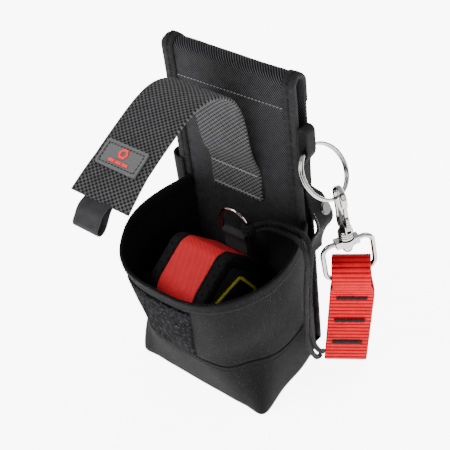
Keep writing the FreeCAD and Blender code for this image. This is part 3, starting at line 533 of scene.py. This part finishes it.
def studio():
    """Three soft lights, a glowing pale floor and a sky with dark bands for the metal to reflect."""
    area_light("key", (-0.55, -0.75, 1.15), (0, -0.02, 0.1), 0.7, 22.0)
    area_light("fill", (0.95, -0.35, 0.7), (0, 0, 0.1), 0.8, 9.0)
    area_light("back", (0.2, 0.9, 0.9), (0, 0, 0.1), 0.8, 12.0)
    world = bpy.data.worlds.new("world")
    world.use_nodes = True
    nt = world.node_tree
    place = nt.nodes.new("ShaderNodeTexCoord")
    split = nt.nodes.new("ShaderNodeSeparateXYZ")
    nt.links.new(place.outputs["Generated"], split.inputs[0])
    front = remap(nt, add_math(nt, "SUBTRACT", split.outputs[0], split.outputs[1]), 0.35, 0.6, 1.0, 0.0)
    bands = remap(nt, wave(nt, add_math(nt, "ADD", split.outputs[0], split.outputs[1]), 0.5), -0.75, -0.45)
    overhead = remap(nt, split.outputs[2], 0.88, 0.95)
    horizon = remap(nt, split.outputs[2], 0.14, 0.30, 1.0, 0.0)
    low = add_math(nt, "MULTIPLY", front, bands)
    level = add_math(nt, "MAXIMUM", low, add_math(nt, "MAXIMUM", overhead, horizon))
    sky = mix_colours(nt, level, (0.02, 0.02, 0.022), (1.0, 1.0, 1.0))
    nt.links.new(sky, nt.nodes["Background"].inputs["Color"])
    nt.nodes["Background"].inputs["Strength"].default_value = SKY_STRENGTH
    bpy.context.scene.world = world
    material, nt, shader = new_material("floor", 0.6)
    shader.inputs["Base Color"].default_value = (0.9, 0.9, 0.9, 1.0)
    shader.inputs["Emission Color"].default_value = (1.0, 1.0, 1.0, 1.0)
    shader.inputs["Emission Strength"].default_value = FLOOR_GLOW
    corners = [(x * FLOOR_HALF, y * FLOOR_HALF, 0) for x, y in ((-1, -1), (1, -1), (1, 1), (-1, 1))]
    floor = mesh_piece("floor", corners, [(0, 1, 2, 3)], material, None)


# ---- tether -------------------------------------------------------------------------------
def route_spline(points):
    """Points read from the route's own NURBS spline, in millimetres."""
    curve = bpy.data.curves.new("route", "CURVE")
    curve.dimensions = "3D"
    curve.resolution_u = 16
    line = curve.splines.new("NURBS")
    line.points.add(len(points) - 1)
    for point, place in zip(line.points, points):
        point.co = (place[0] * MM, place[1] * MM, place[2] * MM, 1.0)
    line.order_u = 3
    line.use_endpoint_u = True
    holder = bpy.data.objects.new("route", curve)
    sampled = bpy.data.meshes.new_from_object(holder)
    result = np.array([v.co[:] for v in sampled.vertices]) / MM
    bpy.data.objects.remove(holder)
    bpy.data.meshes.remove(sampled)
    bpy.data.curves.remove(curve)
    return result


def tube(name, line, radius, body, sides=16, relief=0.12, strands=4):
    """A round cord along a line of points, with the low ridges of its braid."""
    line = resample(line, 0.7)
    tangent = directions(line)
    side = np.cross(tangent[0], Z)
    side /= np.linalg.norm(side)
    run = lengths(line)
    rings, uvs = [], []
    for place, along, at in zip(line, tangent, run):
        side = side - along * (side @ along)
        side /= np.linalg.norm(side)
        up = np.cross(along, side)
        angles = 2 * np.pi * np.arange(sides) / sides
        ridge = np.maximum(np.sin(strands * angles + at * 1.1), np.sin(strands * angles - at * 1.1))
        swell = radius - relief + relief * ridge
        rings.append(place + np.outer(np.cos(angles) * swell, side) + np.outer(np.sin(angles) * swell, up))
        uvs.append(np.stack([radius * angles, np.full(sides, at)], axis=1))
    return loft(name, np.array(rings), np.array(uvs), CORD, body)


def tether():
    for name, points in (("tether_cord_upper", CORD_UPPER), ("tether_cord_lower", CORD_LOWER)):
        line = route_spline(points)
        piece = tube(name + "_braid", line, CORD_D / 2, None)
        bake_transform(piece)
        stand_for(piece, "cord", name)
    leg = np.array([D_RING_X + D_RING_R, D_RING_Y, 98.0])
    turns = [CORD_LOWER[0]]
    for share in np.linspace(0, 1, 49):
        angle = HITCH_START + 2 * math.pi * HITCH_TURNS * share
        around = np.array([math.cos(angle), math.sin(angle), 0]) * HITCH_R
        turns.append(leg + around + Z * (HITCH_LOW + HITCH_H * share))
    turns.append(CORD_UPPER[0])
    hitch = tube("tether_hitch_turns", spline(turns, 200), CORD_D / 2 - 0.2, "d_ring")
    stand_for(hitch, "cord", "tether_hitch")


# ---- back panel ---------------------------------------------------------------------------
def fold_place(run, out):
    """Points at a run along the folded sheet's outer face, and a height out of it, without their x."""
    turn = np.clip((run - FRONT_RUN) / FOLD_R, 0, math.pi)
    rise = np.minimum(run, FRONT_RUN)
    drop = np.maximum(run - FRONT_RUN - math.pi * FOLD_R, 0)
    radius = FOLD_R + out
    y = FOLD_R - radius * np.cos(turn)
    z = PANEL_BOTTOM + rise + radius * np.sin(turn) - drop
    return y, z


def panel():
    runs = np.linspace(0, FOLD_RUN, 240)
    xs = np.linspace(PANEL_LEFT + 1.2, PANEL_RIGHT - 1.2, 60)
    loop_x = np.concatenate([xs, xs[::-1]])
    depth = np.concatenate([np.zeros(60), np.full(60, -TWILL_T)])
    u, s = np.meshgrid(loop_x, runs)
    edge = np.clip(np.minimum(u - PANEL_LEFT, PANEL_RIGHT - u) / 14.0, 0, 1)
    foot = np.clip((s - 120.0) / 30.0, 0, 1)
    puff = 0.25 * ripple(u / 9.0, s / 14.0, 0.4) * edge * foot
    y, z = fold_place(s, depth[None, :] + puff)
    piece = loft("twill_front", stacked(u, y, z), stacked(u, s), TWILL, "root")
    stand_for(piece, "twill", "twill_panel")
    zs = np.linspace(PANEL_BOTTOM, SPLIT_Z + 1.0, 160)
    u, s = np.meshgrid(loop_x, zs)
    edge = np.clip(np.minimum(u - PANEL_LEFT, PANEL_RIGHT - u) / 10.0, 0, 1)
    sag = 0.5 * ripple(u / 16.0, s / 22.0, 1.7) * edge * np.clip((SPLIT_Z - s) / 20.0, 0, 1)
    y = 2 * FOLD_R + depth[None, :] + sag + 0.3 * (depth[None, :] == 0)
    piece = loft("belt_panel_cloth", stacked(u, y, s), stacked(u, s), TWILL, "root")
    stand_for(piece, "twill", "belt_panel")
    seams = []
    for z in (SPLIT_Z + 0.5, SPLIT_Z - 4.0):
        row = np.array([[PANEL_LEFT + 9, 2 * FOLD_R + 0.4, z], [PANEL_RIGHT - 9, 2 * FOLD_R + 0.4, z]])
        seams += run_pairs(row, 2.6)
    seams += run_pairs(np.array([[PANEL_LEFT + 10, -0.1, 191.5], [PANEL_RIGHT - 9, -0.1, 193.5]]), 2.6)
    sew("panel_seams", seams, 0.28, "root", THREAD)


def slab(name, node, material, slot, crown):
    """A thin pad or board with soft edges, in the box that its CAD node holds."""
    low, high = np.array(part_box(node)[0]) / MM, np.array(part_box(node)[1]) / MM
    zs = np.linspace(low[2], high[2], 40)
    xs = np.linspace(low[0], high[0], 24)
    loop_x = np.concatenate([xs, xs[::-1]])
    face = np.concatenate([np.zeros(24), np.ones(24)])
    u, s = np.meshgrid(loop_x, zs)
    soft = np.minimum(np.minimum(u - low[0], high[0] - u), np.minimum(s - low[2], high[2] - s))
    pinch = crown * (1 - np.clip(soft / 6.0, 0, 1) ** 0.5)
    y = np.where(face[None, :] == 0, low[1] + pinch, high[1] - pinch)
    piece = loft(name, stacked(u, y, s), stacked(u, s), material, "root")
    stand_for(piece, slot, node)
    return piece


def binding(name, node, edge, inner, corner):
    """Tape folded round a side edge of the panel and over its top."""
    way = math.copysign(1.0, inner - edge)
    width = abs(inner - edge)
    shape = [(width, 0.05), (width, 0.75), (width * 0.6, 0.95), (width * 0.25, 0.95), (1.1, 0.85),
             (0.3, 0.3), (0.0, -0.8), (0.3, -1.9), (1.1, -2.4), (width * 0.5, -2.5),
             (width, -2.4), (width, -1.65), (1.6, -1.6), (1.6, 0.0)]
    shape = np.array(shape)
    runs = np.linspace(0, FOLD_RUN, 260)
    top = FRONT_RUN + math.pi * FOLD_R / 2
    near = np.clip(1 - np.abs(runs - top) / 9.0, 0, 1)
    cut = corner * (1 - np.sqrt(1 - near ** 2))
    pucker = 0.16 * np.sin(runs * 1.15) + 0.12 * np.sin(runs * 0.37 + edge)
    x_in = shape[None, :, 0] * (1 - cut[:, None] / width) + cut[:, None]
    bulge = (shape[None, :, 1] > 0.3) * pucker[:, None]
    y, z = fold_place(runs[:, None], shape[None, :, 1] + bulge)
    x = edge + way * x_in
    uvs = stacked(lengths(shape)[None, :], runs[:, None])
    piece = loft(name, stacked(x, y, z), uvs, TAPE, "root")
    stand_for(piece, "binding_tape", node)
    places = np.linspace(95.0, FRONT_RUN + 14.0, 400)
    y, z = fold_place(places, 1.05)
    line = np.column_stack([np.full(400, edge + way * width * 0.55), y, z])
    sew(name + "_bartacks", zigzag_pairs(line, (1.1, 0, 0), 1.25), 0.3, "root")


# ---- cup ----------------------------------------------------------------------------------
def cup_outline(level, outset, count=CUP_COLUMNS):
    """Points round the cup at a level, from its right rear end to its left rear end."""
    half = [(b[0] + (r[0] - b[0]) * level, b[1] + (r[1] - b[1]) * level) for b, r in zip(BASE_HALF, RIM_HALF)]
    line = spline(half + [(-x, y) for x, y in reversed(half[:-1])], count)
    foot = max(0.0, 1 - level / 0.3)
    waist = math.exp(-((level - 0.40) / 0.22) ** 2)
    point = np.exp(-(((np.abs(line[:, 0]) - 49.0) / 7.0) ** 2) - ((line[:, 1] + 64.0) / 7.0) ** 2)
    shoulder = np.exp(-(((np.abs(line[:, 0]) - 50.0) / 13.0) ** 2) - ((line[:, 1] + 64.0) / 16.0) ** 2)
    diagonal = np.column_stack([np.sign(line[:, 0]), np.full(len(line), -1.0)])
    line = line + diagonal * (CORNER_REACH * foot * point - CORNER_TUCK * waist * shoulder)[:, None]
    along = directions(line)
    out = np.column_stack([-along[:, 1], along[:, 0]])
    moved = line + out * np.reshape(outset, (-1, 1))
    moved[:, 1] = np.minimum(moved[:, 1], CUP_BACK_Y)
    rise = SEAM_RISE * waist * shoulder
    return np.column_stack([moved, level * (RIM_BACK_Z + RIM_SLOPE * moved[:, 1]) + rise])


def cup_lie(level):
    """How far the cloth stands in or out at each column of a level."""
    s = np.linspace(0, 1, CUP_COLUMNS)
    hold = np.clip(np.minimum(s, 1 - s) / 0.06, 0, 1)
    sway = np.sin(math.pi * np.clip(level / 0.95, 0, 1)) ** 0.7
    return 0.9 * ripple(s * 22.0, level * 7.0, 0.9) * hold * sway


def cup_shell(name, node, section, slot):
    """A band of the cup with a dark lining. section is a closed loop of (level, outset)."""
    rings = np.array([cup_outline(level, outset + cup_lie(level)) for level, outset in section])
    rings = rings.transpose(1, 0, 2)
    run = lengths(cup_outline(0.6, 0.0))
    heights = np.array([level * RIM_BACK_Z for level, _ in section])
    piece = loft(name, rings, stacked(run[:, None], heights[None, :]), COATED, "root")
    stand_for(piece, slot, node)
    line_inside(piece)


def band(low, high, out, inside, steps=14, roll=0.25):
    """A closed section of a shell with softly rolled edges."""
    levels = np.linspace(low, high, steps)
    outer = [(t, out - roll * (t in (levels[0], levels[-1]))) for t in levels]
    inner = [(t, -inside) for t in levels[::-1]]
    return outer + inner


def cup():
    wall = band(SEAM_LEVEL - 0.004, RIM_BAND_LEVEL + 0.03, 0.0, CUP_T, 24)
    boot = band(0.018, SEAM_LEVEL, 0.18, CUP_T, 20, 0.1)
    hem = [(0.925, -0.3), (0.923, 0.06), (0.935, 0.16), (0.965, 0.30), (0.992, 0.25), (1.003, -0.2),
           (1.005, -1.1), (1.000, -1.9), (0.980, -2.4), (0.945, -2.5), (0.926, -2.2)]
    cup_shell("cup_wall_cloth", "cup_wall", wall, "coated_fabric")
    cup_shell("cup_boot_cloth", "cup_boot", boot, "coated_fabric")
    cup_shell("rim_hem", "rim_binding", hem, "binding_tape")
    rim_rows()
    base()
    patch()
    seams()


def line_inside(piece):
    """Gives a shell's inner face the dark lining."""
    piece.data.materials.append(LINING)
    centre = Vector((0, -0.035, 0))
    for face in piece.data.polygons:
        out = face.center - centre
        out.z = 0
        if face.normal.dot(out) < 0 and abs(face.normal.z) < 0.8:
            face.material_index = 1


def rim_rows():
    """One row of stitches under the rim's hem, and the short fibres that stand along its edge."""
    pairs = run_pairs(cup_outline(0.945, cup_lie(0.945) + 0.3), 2.6)
    edge = resample(cup_outline(1.004, cup_lie(1.004) - 0.9), 0.9)
    for i in range(len(edge) - 1):
        reach = 0.55 * np.array([math.sin(i * 2.3), math.cos(i * 3.7), 0.9])
        pairs.append((edge[i], edge[i] + reach))
    sew("rim_stitching", pairs, 0.2, "root")


def base():
    """The base: a stiff bottom with a rounded edge, which runs on under the panel."""
    outline = cup_outline(0.0, 0.0, 160)[:, :2]
    left, right = PANEL_LEFT + 3.5, PANEL_RIGHT - 0.7
    back = np.array([(left, -0.9), (left, 11.0), (right, 11.0), (right, -0.9)])
    around = np.vstack([outline, back])
    centre = around.mean(axis=0)
    rings = []
    for z, inset in ((0.0, 0.8), (0.25, 0.2), (0.8, 0.0), (1.9, 0.0), (2.4, 0.6)):
        ring = centre + (around - centre) * (1 - inset / 55.0)
        ring[-4:, 1] = around[-4:, 1]
        height = np.full(len(ring), z)
        height[-4:] = min(z, 0.7)
        rings.append(np.column_stack([ring, height]))
    rings = np.array(rings)
    piece = loft("base_cloth", rings, rings[:, :, :2], COATED, "root")
    stand_for(piece, "coated_fabric", "base_panel")


def column_at(x):
    """The column of the cup's outline nearest to an x on its front."""
    line = cup_outline(0.6, 0.0)
    costs = np.abs(line[:, 0] - x) + (line[:, 1] > -50) * 1000
    return int(np.argmin(costs))


def patch():
    """The fuzzy loop patch on the front, with a raised edge."""
    first, last = column_at(PATCH_RIGHT), column_at(PATCH_LEFT)
    lean = column_at(PATCH_RIGHT - PATCH_LEAN) - first
    low, high = SEAM_LEVEL + 0.012, RIM_BAND_LEVEL - 0.022
    levels = np.linspace(low, high, 46)
    columns = np.arange(last - first + 1)
    outer, inner = [], []

    def along(outline, t):
        """The outline's part under the patch at a level, whose right hand end leans."""
        start = first + lean * (high - t) / (high - low)
        at = start + (last - start) * columns / columns[-1]
        return np.stack([np.interp(at, np.arange(CUP_COLUMNS), outline[:, k]) for k in range(3)], axis=1)

    for t in levels:
        lie = cup_lie(t)
        k = np.arange(CUP_COLUMNS)
        fuzz = 0.28 * ripple(k * 2.9, t * 260.0, 2.2) + 0.18 * ripple(k * 5.3, t * 410.0, 0.7)
        from_sides = np.minimum(columns, columns[::-1]) / 3.0
        rim = np.clip(np.minimum(from_sides, min(t - low, high - t) / 0.03), 0, 1)
        base_line = along(cup_outline(t, lie + 0.75), t)
        top_line = along(cup_outline(t, lie + 1.3 + fuzz), t)
        outer.append(base_line + (top_line - base_line) * rim[:, None])
        inner.append(along(cup_outline(t, lie + 0.03), t))
    rings = np.array(outer + inner[::-1]).transpose(1, 0, 2)
    run = lengths(cup_outline(0.6, 0.0))[first:last + 1]
    heights = np.concatenate([levels, levels[::-1]]) * RIM_BACK_Z
    piece = loft("loop_patch_pile", rings, stacked(run[:, None], heights[None, :]), FUZZ, "root")
    stand_for(piece, "loop_fuzz", "loop_patch")
    inset_low, inset_high = low + 0.018, high - 0.018
    rows = [along(cup_outline(t, cup_lie(t) + 1.15), t) for t in np.linspace(inset_low, inset_high, 30)]
    sides = [np.array([row[k] for row in rows]) for k in (3, -4)]
    sides += [rows[0][3:-3], rows[-1][3:-3]]
    pairs = [pair for side in sides for pair in run_pairs(side, 2.4)]
    sew("patch_stitching", pairs, 0.28, "root")


def seams():
    pairs = []
    for t in (SEAM_LEVEL - 0.012, SEAM_LEVEL - 0.045):
        pairs += run_pairs(cup_outline(t, cup_lie(t) + 0.28), 2.6)
    sew("cup_seams", pairs, 0.26, "root")


# ---- side loop and straps -----------------------------------------------------------------
def webbing_relief(depth, pitch):
    def relief(u, v, side):
        return depth * np.sin(2 * np.pi * u / pitch) * np.sin(2 * np.pi * v / pitch)
    return relief


def black_strap(name, node, line, across, half, thickness, columns):
    """A strap of black webbing sewn to the pouch."""
    weave = webbing_relief(0.1, 1.3)
    piece = ribbon(name, line, across, half, thickness, STRAP, "root", weave, columns=columns)
    stand_for(piece, "webbing_black", node)


def side_loop():
    bend_r, centre = 6.7, np.array([PANEL_LEFT - 0.7, 5.15])
    angles = np.linspace(-math.pi / 2, -3 * math.pi / 2, 40)
    arc = [(centre[0] + bend_r * math.cos(a), centre[1] + bend_r * math.sin(a)) for a in angles]
    flat = [(-50.4, arc[0][1])] + arc + [(-50.4, arc[-1][1])]
    line = resample(np.column_stack([np.array(flat), np.full(len(flat), 112.2)]), 0.6)
    black_strap("side_loop_webbing", "side_loop_left", line, Z, 14.0, 1.25, 56)
    pairs = []
    for y in (-2.35, 12.65):
        pairs += zigzag_pairs(np.array([[-51.6, y, 99.5], [-51.6, y, 125.5]]), (0.9, 0, 0), 1.2)
    sew("side_loop_bartacks", pairs, 0.28, "root")


def round_end(line, half, length):
    """Half widths of a strap whose last part is rounded off."""
    left = lengths(line)[-1] - lengths(line)
    return half * np.sqrt(np.clip(1 - np.clip(1 - left / length, 0, 1) ** 2, 0.02, 1))


def ring_strap():
    """The webbing loop that carries the split ring, with its two ends sewn together against the panel."""
    middle = PANEL_RIGHT + STRAP_T + STRAP_GAP / 2
    half_gap = STRAP_GAP / 2 + STRAP_T / 2
    bend_z = STRAP_TOP_Z - STRAP_GAP / 2 - STRAP_T
    inner_x, outer_x = PANEL_RIGHT + STRAP_T / 2, PANEL_RIGHT + 1.5 * STRAP_T
    turn = np.linspace(0, math.pi, 20)
    arc = [(middle - half_gap * math.cos(a), bend_z + half_gap * math.sin(a)) for a in turn]
    flat = [(inner_x, STRAP_END_Z + 0.5), (inner_x, STRAP_SEAM_Z)] + arc
    flat += [(middle + half_gap, STRAP_SEAM_Z + 3.0), (middle + half_gap - 0.8, STRAP_SEAM_Z - 0.5),
             (outer_x + 0.8, STRAP_SEAM_Z - 5.0), (outer_x + 0.1, STRAP_SEAM_Z - 9.0),
             (outer_x, STRAP_END_Z + 0.5)]
    flat = np.array(flat)
    line = resample(np.column_stack([flat[:, 0], np.full(len(flat), STRAP_Y), flat[:, 1]]), 0.6)
    half = np.minimum(round_end(line, STRAP_HALF, 1.5), round_end(line[::-1], STRAP_HALF, 1.5)[::-1])
    black_strap("ring_strap_webbing", "ring_strap", line, Y, half, STRAP_T - 0.1, 20)
    row = np.array([[outer_x + 0.7, STRAP_Y - 3.4, 156.0], [outer_x + 0.7, STRAP_Y + 3.4, 156.0]])
    sew("ring_strap_bartacks", zigzag_pairs(row, (0, 0, 0.9), 0.8), 0.28, "root")


def stud_strap():
    """The strap that bulges out behind the hook, narrowed at its top, with the press stud on it."""
    flat = spline(STUD_STRAP_LINE, 110)
    taper = np.clip((flat[:, 1] - 128.0) / 9.5, 0, 1)
    bulge = np.clip((flat[:, 0] - 46.5) / 6.0, 0, 1)
    half = STUD_STRAP_HALF - 3.6 * taper + 1.8 * bulge
    line = np.column_stack([flat[:, 0], STUD_STRAP_Y - 3.6 * taper - 1.8 * bulge, flat[:, 1]])
    black_strap("stud_strap_webbing", "strap_anchor", line, Y, half, STUD_STRAP_T - 0.1, 30)
    out = np.cross(Y, directions(line))
    out *= np.sign(out[:, :1])
    edge = []
    for side in (-1, 1):
        row = (line + out * 0.85 + Y * (side * (half - 1.4))[:, None])[30:70]
        edge += run_pairs(row, 2.0)
    sew("stud_strap_stitching", edge, 0.22, "root", THREAD)


# ---- flap ---------------------------------------------------------------------------------
def flap():
    line = in_yz(spline(FLAP_LINE, 330), (FLAP_LEFT + FLAP_RIGHT) / 2)
    weave = webbing_relief(0.16, 2.1)
    piece = ribbon("flap_webbing", line, X, 20.0, FLAP_T - 0.3, FLAP, None, weave, columns=72)
    twist_end(piece)
    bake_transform(piece)
    stand_for(piece, "webbing_black", "flap_strap", "flap_anchor")
    rows = []
    for z in (119.8, 137.2):
        row = np.array([[FLAP_LEFT + 1.5, -2.4, z], [FLAP_RIGHT - 1.5, -2.4, z]])
        rows += zigzag_pairs(row, (0, 0, 0.8), 1.3)
    sew("flap_anchor_bartacks", rows, 0.3, "root", THREAD)
    hook_tape()
    label_stitching()


def twist_end(piece):
    """The flap's end turns a little, with its left corner further out and higher."""
    for vertex in piece.data.vertices:
        ramp = min(max((-vertex.co.y / MM - 90.0) / 22.0, 0.0), 1.0)
        if vertex.co.z / MM > 180.0:
            side = (vertex.co.x / MM + 5.0) / 20.0
            vertex.co.z -= 2.0 * side * ramp * MM
            vertex.co.y += 1.6 * side * ramp * MM


def hook_tape():
    points = [(-62.0, 206.8), (-75.0, 201.3), (-88.0, 195.1), (-104.0, 186.3)]
    line = in_yz(spline(points, 80), -5.0)
    normal = np.cross(directions(line), X)

    def hooks(u, v, side):
        return np.where(side < 0, 0.22 * np.sin(u * 4.4) * np.sin(v * 4.4), 0.0)

    piece = ribbon("hook_tape_pile", line + normal * (-0.85), X, 18.0, 1.2, HOOKS, "flap", hooks, columns=60)
    stand_for(piece, "hook_pile", "hook_tape")


def label_stitching():
    centre = np.array([-6.2, -87.0, 197.7])
    slope = math.radians(26.0)
    up_slope = np.array([0, math.cos(slope), math.sin(slope)])
    normal = np.array([0, -math.sin(slope), math.cos(slope)])
    face = centre + normal * (FLAP_T / 2 + 0.85)
    w, h = 12.9, 5.7
    corners = [face + X * a * w + up_slope * b * h for a, b in ((-1, -1), (1, -1), (1, 1), (-1, 1), (-1, -1))]
    pairs = []
    for i in range(4):
        pairs += run_pairs(np.array([corners[i], corners[i + 1]]), 2.4, 0.62)
    sew("label_stitching", pairs, 0.3, "flap")


def pull_tab():
    """A loop of fine tape folded in half and sewn under the flap's end."""
    points = [(-104.6, 184.6), (-108.5, 182.2), (-112.5, 177.6), (-116.4, 172.8), (-120.0, 171.6),
              (-122.0, 173.6), (-119.6, 178.2), (-115.5, 182.6), (-110.5, 184.4), (-105.5, 186.4)]
    line = in_yz(spline(points, 90), -6.75)

    def ribs(u, v, side):
        return 0.05 * np.sin(v * 7.0)

    piece = ribbon("pull_tab_tape", line, X, 9.5, 1.0, GROSGRAIN, "flap", ribs, columns=24)
    stand_for(piece, "binding_tape", "pull_tab")


# ---- tail tab -----------------------------------------------------------------------------
def tab_place(points):
    """From (x across, y depth, z) in the tab's own frame to its place on the eye's lower bar."""
    pts = np.array(points, float)
    askew = math.tan(math.radians(TAB_TAIL_LEAN)) * np.minimum(pts[:, 2:3] - TAB_JOIN_Z, 0)
    depth = np.cross(Z, TAB_ACROSS)
    return EYE_BAR + (pts[:, :1] + askew) * TAB_ACROSS + pts[:, 1:2] * depth + pts[:, 2:3] * Z


def tail_tab():
    middle = TAB_GAP_R + TAB_T / 2
    front = [(-0.8, TAB_END_Z + 0.4), (-0.8, -60.0), (-0.8, -40.0), (-0.8, -24.0),
             (-1.6, -17.0), (-4.4, -10.0), (-7.4, -4.0)]
    turn = np.linspace(0.1, math.pi - 0.1, 9)
    arc = [(-middle * math.cos(a), TAB_ARCH_Z + middle * math.sin(a)) for a in turn]
    flat = front + arc + [(-y, z) for y, z in reversed(front)]
    dense = spline(flat, 330)
    line = tab_place(np.column_stack([np.zeros(len(dense)), dense]))
    spread = np.clip((-4.0 - dense[:, 1]) / 14.0, 0, 1)
    half = TAB_HALF + (TAB_TAIL_HALF - TAB_HALF) * spread * spread * (3 - 2 * spread)

    def ribs(u, v, side):
        return 0.32 * np.abs(np.sin(np.pi * v / 3.15)) ** 0.6 - 0.28 + 0.03 * np.sin(u * 7.0)

    piece = ribbon("tail_tab_webbing", line, TAB_ACROSS, half, TAB_T - 0.1, RED, "tab", ribs, columns=40)
    stand_for(piece, "webbing_red", "tail_tab")
    pairs = []
    for k, z in enumerate(BARTACK_Z):
        for i in range(46):
            x = -9.4 + 18.8 * i / 45
            top, bottom = 1.7 + 0.6 * math.sin(i * 2.7 + k), -1.7 - 0.5 * math.cos(i * 1.9 + k)
            slant = 0.6 * math.sin(i * 1.3 + 2 * k)
            ends = tab_place([(x - slant, -2.05, z + top), (x + slant, -2.05, z + bottom)])
            pairs.append(tuple(ends))
        for level in (-1.1, 0.0, 1.1):
            ends = tab_place([(-9.4, -1.95, z + level), (9.4, -1.95, z + level)])
            pairs += run_pairs(ends, 1.1, 0.9)
    tacks = stitches("tail_tab_bartack_thread", pairs, 0.32, DARK_THREAD, "tab")
    stand_for(tacks, "thread_black", "tab_bartacks")


# ---- tape measure's jacket ----------------------------------------------------------------
def jacket():
    outline = rounded(TAPE_LINE, TAPE_FILLETS, 0.8)
    flat = np.roll(outline, -3, axis=0)
    line = in_yz(flat, (BAND_LEFT + BAND_RIGHT) / 2)
    normal = np.cross(directions(line, closed=True), X)
    inside = line - line.mean(axis=0)
    normal = normal * np.sign(((inside + normal) ** 2).sum() - (inside ** 2).sum())

    def lie(u, v, side):
        return 0.06 * np.sin(u * 0.4 + 1.0) * np.sin(v * 0.25) - 0.05

    half = (BAND_RIGHT - BAND_LEFT) / 2
    piece = ribbon("jacket_band_webbing", line - normal * JACKET_T / 2, X, half, JACKET_T - 0.1,
                   RED_TWILL, "tape", lie, closed=True, columns=40)
    stand_for(piece, "webbing_red", "jacket_band")
    for side, name in ((1, "right"), (-1, "left")):
        jacket_edge(line, normal, side, name)


def jacket_edge(line, normal, side, name):
    """Perforated elastic that runs beside the band and turns in over the side of the case."""
    start = BAND_RIGHT if side > 0 else -BAND_LEFT
    case = CASE_RIGHT if side > 0 else -CASE_LEFT
    section = [(start - 0.6, -0.35), (start + 3.0, -0.3), (case - 1.2, -0.35), (case + 0.6, -0.9),
               (case + 1.3, -2.4), (case + 1.25, -5.0), (case + 1.0, -7.9), (case + 0.15, -7.9),
               (case + 0.1, -3.0), (case - 0.6, -1.5), (start + 3.0, -1.45), (start - 0.6, -1.45)]
    section = np.array(section)
    gather = np.sin(lengths(line) * 0.9) * 0.25 + np.sin(lengths(line) * 0.31) * 0.2
    deep = np.clip(-section[:, 1] / 8.0, 0, 1) * (section[:, 0] > case + 0.5)
    rings = line[:, None, :] + normal[:, None, :] * section[None, :, 1:]
    rings[:, :, 0] = side * (section[None, :, 0] + gather[:, None] * deep[None, :])
    uvs = stacked(lengths(section)[None, :], lengths(line)[:, None])
    piece = loft("jacket_elastic_" + name, rings, uvs, ELASTIC, "tape", closed=True)
    stand_for(piece, "elastic_black", "jacket_edge_" + name)
    row = line + normal * 0.1
    row[:, 0] = side * (start + 0.5)
    sew("jacket_stitching_" + name, run_pairs(row, 2.4), 0.28, "tape")


def d_ring_loop():
    y, z, r = D_RING_Y, D_RING_Z, 2.45
    turn = np.linspace(-0.2, math.pi + 0.2, 24)
    arc = [(y - r * math.cos(a), z + r * math.sin(a)) for a in turn]
    flat = [(y - 0.75, 76.4), (y - 0.75, 84.0), (y - 1.1, 87.0)] + arc
    flat += [(y + 1.1, 87.0), (y + 0.75, 82.0), (y + 0.75, 74.6)]
    line = in_yz(resample(np.array(flat), 0.5), D_RING_X)

    def ribs(u, v, side):
        return 0.08 * np.sin(v * 3.5)

    piece = ribbon("d_ring_loop_tape", line, X, 9.3, 1.2, GROSGRAIN, "tape", ribs, columns=24)
    stand_for(piece, "elastic_black", "d_ring_loop")


camera()
tether()
studio()
dress_cad_nodes()
panel()
slab("stiffener_sheet", "stiffener_board", FOAM, "board", 0.2)
slab("foam_core", "foam_pad", FOAM, "foam", 1.2)
binding("binding_left_tape", "binding_left", PANEL_LEFT, -45.0, 4.5)
binding("binding_right_tape", "binding_right", PANEL_RIGHT, 36.5, 1.0)
cup()
side_loop()
ring_strap()
stud_strap()
flap()
pull_tab()
tail_tab()
jacket()
d_ring_loop()
bpy.context.view_layer.update()
